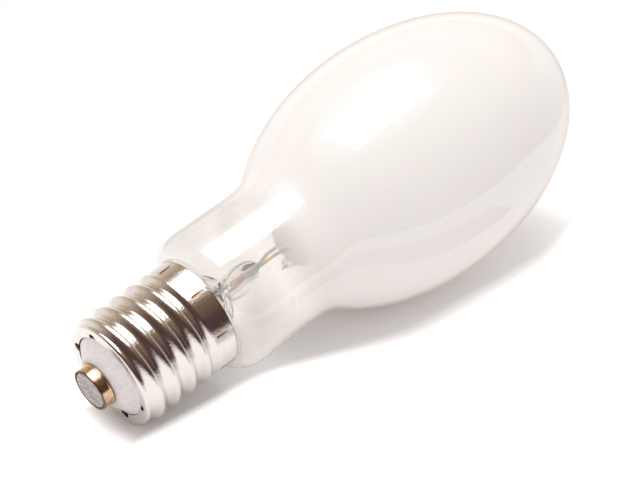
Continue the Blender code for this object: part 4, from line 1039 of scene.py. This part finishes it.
def rim_solder_rings():
    """A blob of solder: a ball squeezed to the half sizes, its corners filled by the 1.5th root of
    sine and cosine, lying on the skirt below the side lead."""
    up = np.linspace(-math.pi / 2, math.pi / 2, 25)[:, None]
    around = np.linspace(0, math.tau, 32, endpoint=False)[None]
    power = 1 / 1.5
    ring = bent(np.cos(up), power)
    deep, wide, tall = RIM_SOLDER_SIZES
    x = deep * ring * bent(np.cos(around), power) + RIM_SOLDER_RADIUS
    y = wide * ring * bent(np.sin(around), power)
    z = tall * bent(np.sin(up), power) * np.ones_like(around) + RIM_SOLDER_HEIGHT
    cosine, sine = (turn(math.radians(SIDE_LEAD_ANGLE)) for turn in (math.cos, math.sin))
    return np.stack([x * cosine - y * sine, x * sine + y * cosine, z], axis=-1)


class LAMP_OT_bulb(bpy.types.Operator):
    """Makes the blown glass bulb and the powder coat on its inner wall"""

    bl_idname = "lamp.bulb"
    bl_label = "Bulb and coat"

    def execute(self, context):
        shape, colours = context.scene.lamp_shape, context.scene.lamp_colours
        outline = np.concatenate([bulb_outline(0.0), bulb_outline(BULB_WALL)[::-1]])
        # The edge colour paints a dark outline round the bulb.
        glass = glass_finish("Bulb glass", (0.995, 0.985, 0.975), 1.52, edge=(0.46, 0.33, 0.26))
        body = closed(revolved(outline, BULB_COLUMNS))
        add_piece("bulb_glass", [body], glass, ["outer_bulb"])
        sheet = bulb_outline(BULB_WALL - shape.coat_depth)
        sheet = sheet[sheet[:, 1] > shape.haze_start - MM]
        points, quads, fans = grid(revolved(sheet, BULB_COLUMNS), poles=(True, False), sheet=True)
        first = points[quads[0]]
        normal = np.cross(first[1] - first[0], first[2] - first[1])
        if normal @ (first.mean(axis=0) - (0.0, 0.0, BODY_CENTER)) < 0:
            quads, fans = quads[:, ::-1], fans[:, ::-1]
        add_piece("powder_coat", [(points, quads, fans)], coat_finish(shape, colours))
        return {"FINISHED"}


class LAMP_OT_screw_shell(bpy.types.Operator):
    """Makes the rolled screw shell with its slits and notches"""

    bl_idname = "lamp.screw_shell"
    bl_label = "Screw shell"

    def execute(self, context):
        cutters = []
        for i in range(SLIT_COUNT):
            angle = SLIT_ANGLE + 360 * i / SLIT_COUNT
            center = polar(RIM_RADIUS, angle, RIM_HEIGHT)
            cutters.append(box_grid(center, (6 * SHELL_WALL, SLIT_WIDTH, 2 * SLIT_LENGTH), angle))
        for i in range(NOTCH_COUNT):
            center = polar(SHELL_OPENING_RADIUS, NOTCH_ANGLE + 360 * i / NOTCH_COUNT, SHELL_END_HEIGHT)
            cutters.append(rod_grid(center, NOTCH_RADIUS, 4 * SHELL_WALL))
        finish = plating_finish(context.scene.lamp_colours)
        add_piece("screw_shell", [grid(shell_surface(), loop=True)], finish,
                  ["cap_shell"], 40, cut_away(cutters))
        return {"FINISHED"}


class LAMP_OT_cap_end(bpy.types.Operator):
    """Makes the centre contact, its solder, the insulator, the cement and the solder on the rim"""

    bl_idname = "lamp.cap_end"
    bl_label = "Contact and insulator"

    def execute(self, context):
        colours = context.scene.lamp_colours
        brass = brass_finish(colours)
        solder = solder_finish(colours)
        insulator = grained_finish("Insulator", colours.insulator, GREY_SMUDGE, 0.32, 500.0, 0.03 * MM,
                                   share=0.18, layers=insulator_layers)
        cement = grained_finish("Cement", CEMENT, BURNT_CEMENT, 0.85, 500.0, 0.25 * MM,
                                share=0.3, layers=cement_layers)
        turned = {
            name: rounded(np.array(profile) * MM, reach * MM)
            for name, profile, reach in (
                ("cup", CONTACT_PROFILE, 0.5), ("disc", INSULATOR_PROFILE, 0.45),
                ("cement", CEMENT_PROFILE, 0.5),
            )
        }
        shift = polar(*INSULATOR_SHIFT, 0.0)
        for name, body, finish, slot, cad_name, sharp in (
            ("contact_cup", grid(revolved(turned["cup"], 96), loop=True), brass, "brass",
             "center_contact", 40),
            ("contact_solder_face", closed(solder_rings()), solder, "solder", "contact_solder", 60),
            ("insulator_disc", grid(revolved(turned["disc"], 128) + shift, loop=True),
             insulator, "insulator", "cap_insulator", 50),
            ("cement_ring", grid(revolved(turned["cement"], 128), loop=True), cement, "cement",
             "cap_cement", 60),
            ("rim_solder", closed(rim_solder_rings()), solder, "solder", "side_solder", 60),
        ):
            add_piece(name, [body], finish, [cad_name], sharp)
        return {"FINISHED"}


class LAMP_OT_stem(bpy.types.Operator):
    """Makes the glass stem, its press and the pumping tube inside it"""

    bl_idname = "lamp.stem"
    bl_label = "Stem"

    def execute(self, context):
        glass = glass_finish("Stem glass", (0.99, 0.985, 0.975), 1.4)
        add_piece("stem_press", [closed(stem_surface())], glass, ["stem_glass"])
        round_end = ellipse_arc((0, PUMP_TIP + PUMP_RADIUS), (PUMP_RADIUS, PUMP_RADIUS), 0, -90, 10)[:-1]
        outline = np.concatenate([
            [(PUMP_RADIUS, PUMP_TOP)],
            round_end,
            [(0.02 * MM, PUMP_TIP), (0.02 * MM, PUMP_TIP + PUMP_FLOOR)],
            [(PUMP_BORE, PUMP_TIP + PUMP_RADIUS), (PUMP_BORE, PUMP_TOP)],
        ])
        body = grid(revolved(outline, 48), loop=True)
        add_piece("pumping_tube", [body], glass, ["exhaust_tube"])
        return {"FINISHED"}


class LAMP_OT_wires(bpy.types.Operator):
    """Makes the lead wires, the seals in the press, the frame rod and the arc tube's leads"""

    bl_idname = "lamp.wires"
    bl_label = "Wires"

    def execute(self, context):
        outer = grained_finish(
            "Outer lead", (0.42, 0.41, 0.40), (0.25, 0.22, 0.20), 0.35, 900.0, 0.01 * MM, 1.0)
        seal = grained_finish(
            "Copper seal", (0.50, 0.27, 0.18), (0.32, 0.17, 0.12), 0.4, 900.0, 0.01 * MM, 0.7)
        inner = grained_finish("Support rod", NICKEL_WIRE, (0.30, 0.28, 0.26), 0.3, 700.0, 0.01 * MM, 1.0)
        gilded = grained_finish("Gilded wire", NICKEL_WIRE, NICKEL_WIRE, 0.3, 700.0, 0.01 * MM, 1.0,
                                share=0.0, layers=gilded_layers)
        front, rear = PRESS_ANGLE, PRESS_ANGLE + 180
        self.wire("centre_wire", [
            (0, 0, 4.3 * MM), (0, 0, 19 * MM),
            (LEAD_OFFSET, front, 24 * MM), (LEAD_OFFSET, front, LEAD_END),
        ], 0.35, outer, "lead_wire", "center_lead", 2.4)
        self.wire("rim_wire", [
            (LEAD_OFFSET, rear, LEAD_END), (LEAD_OFFSET, rear, DOME_START),
            (RIM_LEAD_INSIDE, SIDE_LEAD_ANGLE, FLARE_TOP),
            (RIM_LEAD_INSIDE, SIDE_LEAD_ANGLE, RIM_LEAD_BELOW),
            (RIM_LEAD_BESIDE, SIDE_LEAD_ANGLE, RIM_LEAD_BELOW),
            (RIM_LEAD_BESIDE, SIDE_LEAD_ANGLE, RIM_LEAD_OVER),
            (RIM_SOLDER_RADIUS, SIDE_LEAD_ANGLE, RIM_LEAD_OVER),
        ], 0.3, outer, "lead_wire", "side_lead", 1.2)
        for side, angle in (("front", front), ("rear", rear)):
            ends = [(LEAD_OFFSET, angle, height) for height in SEAL_ENDS]
            self.wire(f"{side}_seal", ends, 0.5, seal, "copper_seal", f"{side}_seal_wire", 1.0)
        self.wire("frame_wire", [
            (LEAD_OFFSET, front, ROD_START), (LEAD_OFFSET, front, 71.2 * MM),
            (5 * MM, ROD_ANGLE, 74 * MM), (5 * MM, ROD_ANGLE, ROD_BEND),
            (FRAME_RADIUS, ROD_ANGLE, ROD_BEND), (FRAME_RADIUS, ROD_ANGLE, UPPER_HOOK_HEIGHT),
            (9.3 * MM, ROD_ANGLE, UPPER_HOOK_HEIGHT),
        ], 0.6, inner, "support_wire", "frame_rod", 2.4)
        turn = ROD_ANGLE + UPPER_HOOK_ANGLES[0] - math.degrees(HOOK_GAP / CAGE_RADIUS)
        self.wire("short_wire", [
            (LEAD_OFFSET, rear, ROD_START), (LEAD_OFFSET, rear, 64.5 * MM),
            (0, rear, 70.5 * MM), (0, rear, 80 * MM),
            (LEAD_OFFSET, rear, 86 * MM), (LEAD_OFFSET, rear, SHORT_LEAD_END),
            (14.55 * MM, turn, SHORT_LEAD_END),
        ], 0.6, gilded, "support_wire", "short_lead", 2.4)
        return {"FINISHED"}

    def wire(self, name, places, radius, finish, slot, cad_name, bend):
        """A round wire with rounded corners at places (distance from the axis, angle, height). Its
        radius and the reach of its bends are in millimetres."""
        path = resampled(rounded([polar(*place) for place in places], bend * MM), 0.6 * MM)
        add_piece(name, [closed(tube(path, radius * MM, 20))], finish, [cad_name], 60)


class LAMP_OT_filament(bpy.types.Operator):
    """Makes the coiled ballast filament on its hooks"""

    bl_idname = "lamp.filament"
    bl_label = "Filament"

    def execute(self, context):
        finish = grained_finish(
            "Tungsten coil", (0.30, 0.30, 0.32), (0.18, 0.18, 0.20), 0.4, 2000.0, 0.005 * MM, 1.0)
        add_piece("ballast_coil", [closed(coil_surface())], finish, ["filament"])
        return {"FINISHED"}


class LAMP_OT_arc_tube(bpy.types.Operator):
    """Makes the quartz arc tube"""

    bl_idname = "lamp.arc_tube"
    bl_label = "Arc tube"

    def execute(self, context):
        finish = glass_finish("Quartz", (0.99, 0.99, 0.995), 1.46)
        add_piece("quartz_tube", arc_tube_parts(), finish, ["arc_tube"], 50)
        return {"FINISHED"}


class LAMP_OT_inner_finishes(bpy.types.Operator):
    """Gives the beads, hooks, straps, foils, electrodes and resistor their finishes"""

    bl_idname = "lamp.inner_finishes"
    bl_label = "Inner finishes"

    def execute(self, context):
        hooks = [f"lower_hook_{i}" for i in (1, 2, 3)] + [f"upper_hook_{i}" for i in (1, 2, 3, 4)]
        straps = ["lower_strap", "upper_strap", "lower_arc_lead", "upper_arc_lead", "starter_lead"]
        for names, *finish in (
            (["lower_bead", "upper_bead"],
             "Bead ceramic", (0.84, 0.81, 0.76), (0.62, 0.58, 0.52), 0.6, 400.0, 0.05 * MM),
            (hooks + straps,
             "Hook metal", (0.52, 0.51, 0.48), (0.30, 0.28, 0.26), 0.32, 700.0, 0.01 * MM, 1.0),
            (["lower_electrode", "upper_electrode", "starting_electrode"],
             "Electrode tungsten", (0.33, 0.33, 0.35), (0.2, 0.2, 0.22), 0.4, 900.0, 0.02 * MM, 1.0),
            (["lower_foil", "upper_foil", "starter_foil"],
             "Foil", (0.58, 0.58, 0.61), (0.4, 0.4, 0.42), 0.3, 600.0, 0.01 * MM, 1.0),
            (["starting_resistor"],
             "Resistor body", (0.18, 0.26, 0.16), (0.10, 0.13, 0.09), 0.55, 500.0, 0.03 * MM),
        ):
            material = grained_finish(*finish)
            for name in names:
                slots = frame["nodes"][name].data.materials
                slots.clear()
                slots.append(material)
        return {"FINISHED"}


class LAMP_OT_studio(bpy.types.Operator):
    """Sets up the floor, the softbox, the surroundings and the camera"""

    bl_idname = "lamp.studio"
    bl_label = "Studio"

    def execute(self, context):
        studio = context.scene.lamp_studio
        self.add_floor(studio)
        self.add_softbox(studio)
        self.add_surround()
        self.set_world(studio)
        camera = bpy.data.objects.new("camera", bpy.data.cameras.new("camera"))
        context.scene.collection.objects.link(camera)
        camera.data.lens = CAMERA_LENS
        camera.data.clip_start = 0.01
        camera.location = CAMERA_PLACE
        camera.rotation_euler = Vector(CAMERA_AIM).to_track_quat("-Z", "Y").to_euler()
        context.scene.camera = camera
        context.scene.view_settings.view_transform = "Standard"
        return {"FINISHED"}

    def add_stage(self, name, parts, material):
        """A piece of the stage, its points given in the scene's frame."""
        made = new_object(name, parts, np.asarray)
        made.data.materials.append(material)
        made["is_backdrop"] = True
        return made

    def add_sheet(self, name, corners, height, material):
        """A flat rectangle between two corners, facing up."""
        (left, front), (right, back) = corners
        points = np.array([(x, y, height) for x, y in (
            (left, front), (right, front), (right, back), (left, back))])
        return self.add_stage(name, [(points, np.array([[0, 1, 2, 3]]), np.empty((0, 3), int))], material)

    def show_to_gloss(self, piece):
        """Only mirrored rays meet this piece: it casts no shadow and is in no direct view."""
        for kind in ("camera", "diffuse", "transmission", "volume_scatter", "shadow"):
            setattr(piece, f"visible_{kind}", False)

    def direct_view(self, tree, in_gloss):
        """1 for the camera and through glass, the given share in gloss, and nothing for diffuse light."""
        path = rays(tree)
        return largest(tree, path["Is Camera Ray"], path["Is Transmission Ray"],
                       times(tree, path["Is Glossy Ray"], in_gloss))

    def add_floor(self, studio):
        """A white sheet just under the lamp's lowest point, and a grey card on it that only gloss sees,
        which paints a dark band into the reflections. Outside a painted shadow the sheet glows to white
        where it is seen: the painted shadow's half width follows the lamp's, narrow at the cap and wide at
        the bulb, so the shadow's shape and edge are partly painted."""
        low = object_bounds()[0][2] - SHEET_GAP
        material, tree, shader = glow_finish("Studio floor")
        place = parts_of(tree, tree.nodes.new("ShaderNodeTexCoord").outputs["Object"])
        along = place["X"]
        # Painted shadow: the floor glows to white outside this lamp-shaped mask.
        half = times(tree, band(tree, along, *SHADOW_WIDENS, SHADOW_HALF_WIDTHS),
                     band(tree, along, *SHADOW_NARROWS, (1.0, SHADOW_TIP)))
        share = math_node(tree, "DIVIDE", math_node(tree, "ABSOLUTE", place["Y"]), half)
        lifted = largest(tree, band(tree, share, *SHADOW_EDGE), band(tree, along, *SHADOW_STARTS),
                         band(tree, along, *SHADOW_ENDS))
        glow = times(tree, self.direct_view(tree, FLOOR_GLOW_IN_GLOSS), times(tree, lifted, FLOOR_GLOW))
        feed(tree, shader, {
            "Base Color": (*studio.floor_colour, 1.0), "Roughness": 0.7, "Specular IOR Level": 0.1,
            "Emission Color": mixed(tree, glow, (0.0, 0.0, 0.0), (1.0, 1.0, 1.0)),
        })
        self.add_sheet("floor", FLOOR_CORNERS, low, material)
        grey = new_finish("Grey card", CARD_COLOUR, 0.9)[0]
        self.show_to_gloss(self.add_sheet("card", CARD_CORNERS, low + SHEET_GAP / 2, grey))

    def add_softbox(self, studio):
        """An area light, and a bright face just under it for the gloss."""
        lamp = bpy.data.lights.new("softbox", "AREA")
        lamp.shape = "RECTANGLE"
        lamp.size, lamp.size_y = studio.softbox_size
        lamp.energy = studio.softbox_power
        softbox = bpy.data.objects.new("softbox", lamp)
        softbox.location = studio.softbox_place
        softbox.visible_camera = False
        bpy.context.scene.collection.objects.link(softbox)
        wide, deep = (size / 2 for size in studio.softbox_size)
        x, y, z = studio.softbox_place
        material = glow_finish("Softbox face", SOFTBOX_GLOW)[0]
        material.cycles.emission_sampling = "NONE"
        corners = ((x - wide, y - deep), (x + wide, y + deep))
        self.show_to_gloss(self.add_sheet("softbox_face", corners, z - SOFTBOX_FACE_DROP, material))

    def add_surround(self):
        """A sphere round the set that only gloss sees. Toward the camera it is dark. Across from the
        camera it is pale low down, then tan, and brown toward the top. A brown ring and a white disc
        lie round the softbox."""
        outline = ellipse_arc((0, 0), (SURROUND_RADIUS, SURROUND_RADIUS), 90, -90, 32)
        outline[[0, -1], 0] = 0.0
        material, tree, shader = glow_finish("Surround")
        place = tree.nodes.new("ShaderNodeTexCoord").outputs["Object"]
        direction = vector_node(tree, "NORMALIZE", "Vector", place)
        across, overhead = (
            vector_node(tree, "DOT_PRODUCT", "Value", direction, way) for way in (ACROSS, OVERHEAD)
        )
        rise = parts_of(tree, direction)["Z"]
        halo = band(tree, overhead, 0.66, 0.94)
        far = mixed(tree, band(tree, rise, 0.24, 0.36), *FAR_TONES[:2])
        far = mixed(tree, band(tree, rise, 0.58, 0.76), far, FAR_TONES[2])
        near = mixed(tree, band(tree, rise, 0.35, 0.70), *NEAR_TONES)
        room = mixed(tree, band(tree, across, -0.35, 0.55), near, far)
        room = mixed(tree, band(tree, halo, 0.0, 0.5), room, HALO_TONES[0])
        room = mixed(tree, band(tree, halo, 0.6, 1.0), room, HALO_TONES[1])
        feed(tree, shader, {"Emission Color": room})
        body = grid(revolved(outline, 48), poles=(True, True), inward=True)
        self.show_to_gloss(self.add_stage("surround", [body], material))

    def set_world(self, studio):
        """White to the camera, to gloss and through glass, and an even soft fill to diffuse light."""
        world = bpy.data.worlds.new("studio")
        bpy.context.scene.world = world
        world.use_nodes = True
        tree = world.node_tree
        colour = mixed(tree, self.direct_view(tree, 1.0), tuple(studio.fill), (1.0, 1.0, 1.0))
        feed(tree, tree.nodes["Background"], {"Color": colour, "Strength": 1.0})


STEPS = (
    LAMP_OT_bulb, LAMP_OT_screw_shell, LAMP_OT_cap_end, LAMP_OT_stem, LAMP_OT_wires,
    LAMP_OT_filament, LAMP_OT_arc_tube, LAMP_OT_inner_finishes, LAMP_OT_studio,
)


class LAMP_PT_steps(bpy.types.Panel):
    """Lists the steps that dress the lamp"""

    bl_idname = "LAMP_PT_steps"
    bl_label = "Blended-light lamp"
    bl_space_type = "VIEW_3D"
    bl_region_type = "UI"
    bl_category = "Lamp"

    def draw(self, context):
        scene = context.scene
        for group in (scene.lamp_shape, scene.lamp_colours, scene.lamp_studio):
            for name in type(group).__annotations__:
                self.layout.prop(group, name)
        for step in STEPS:
            self.layout.operator(step.bl_idname)


CLASSES = (LampShape, LampColours, LampStudio, *STEPS, LAMP_PT_steps)


def register():
    for cls in CLASSES:
        bpy.utils.register_class(cls)
    bpy.types.Scene.lamp_shape = bpy.props.PointerProperty(type=LampShape)
    bpy.types.Scene.lamp_colours = bpy.props.PointerProperty(type=LampColours)
    bpy.types.Scene.lamp_studio = bpy.props.PointerProperty(type=LampStudio)


def unregister():
    for name in ("lamp_shape", "lamp_colours", "lamp_studio"):
        delattr(bpy.types.Scene, name)
    for cls in reversed(CLASSES):
        bpy.utils.unregister_class(cls)


def main():
    register()
    bpy.ops.lamp.bulb()
    bpy.ops.lamp.screw_shell()
    bpy.ops.lamp.cap_end()
    bpy.ops.lamp.stem()
    bpy.ops.lamp.wires()
    bpy.ops.lamp.filament()
    bpy.ops.lamp.arc_tube()
    bpy.ops.lamp.inner_finishes()
    bpy.ops.lamp.studio()


if __name__ == "__main__":
    main()
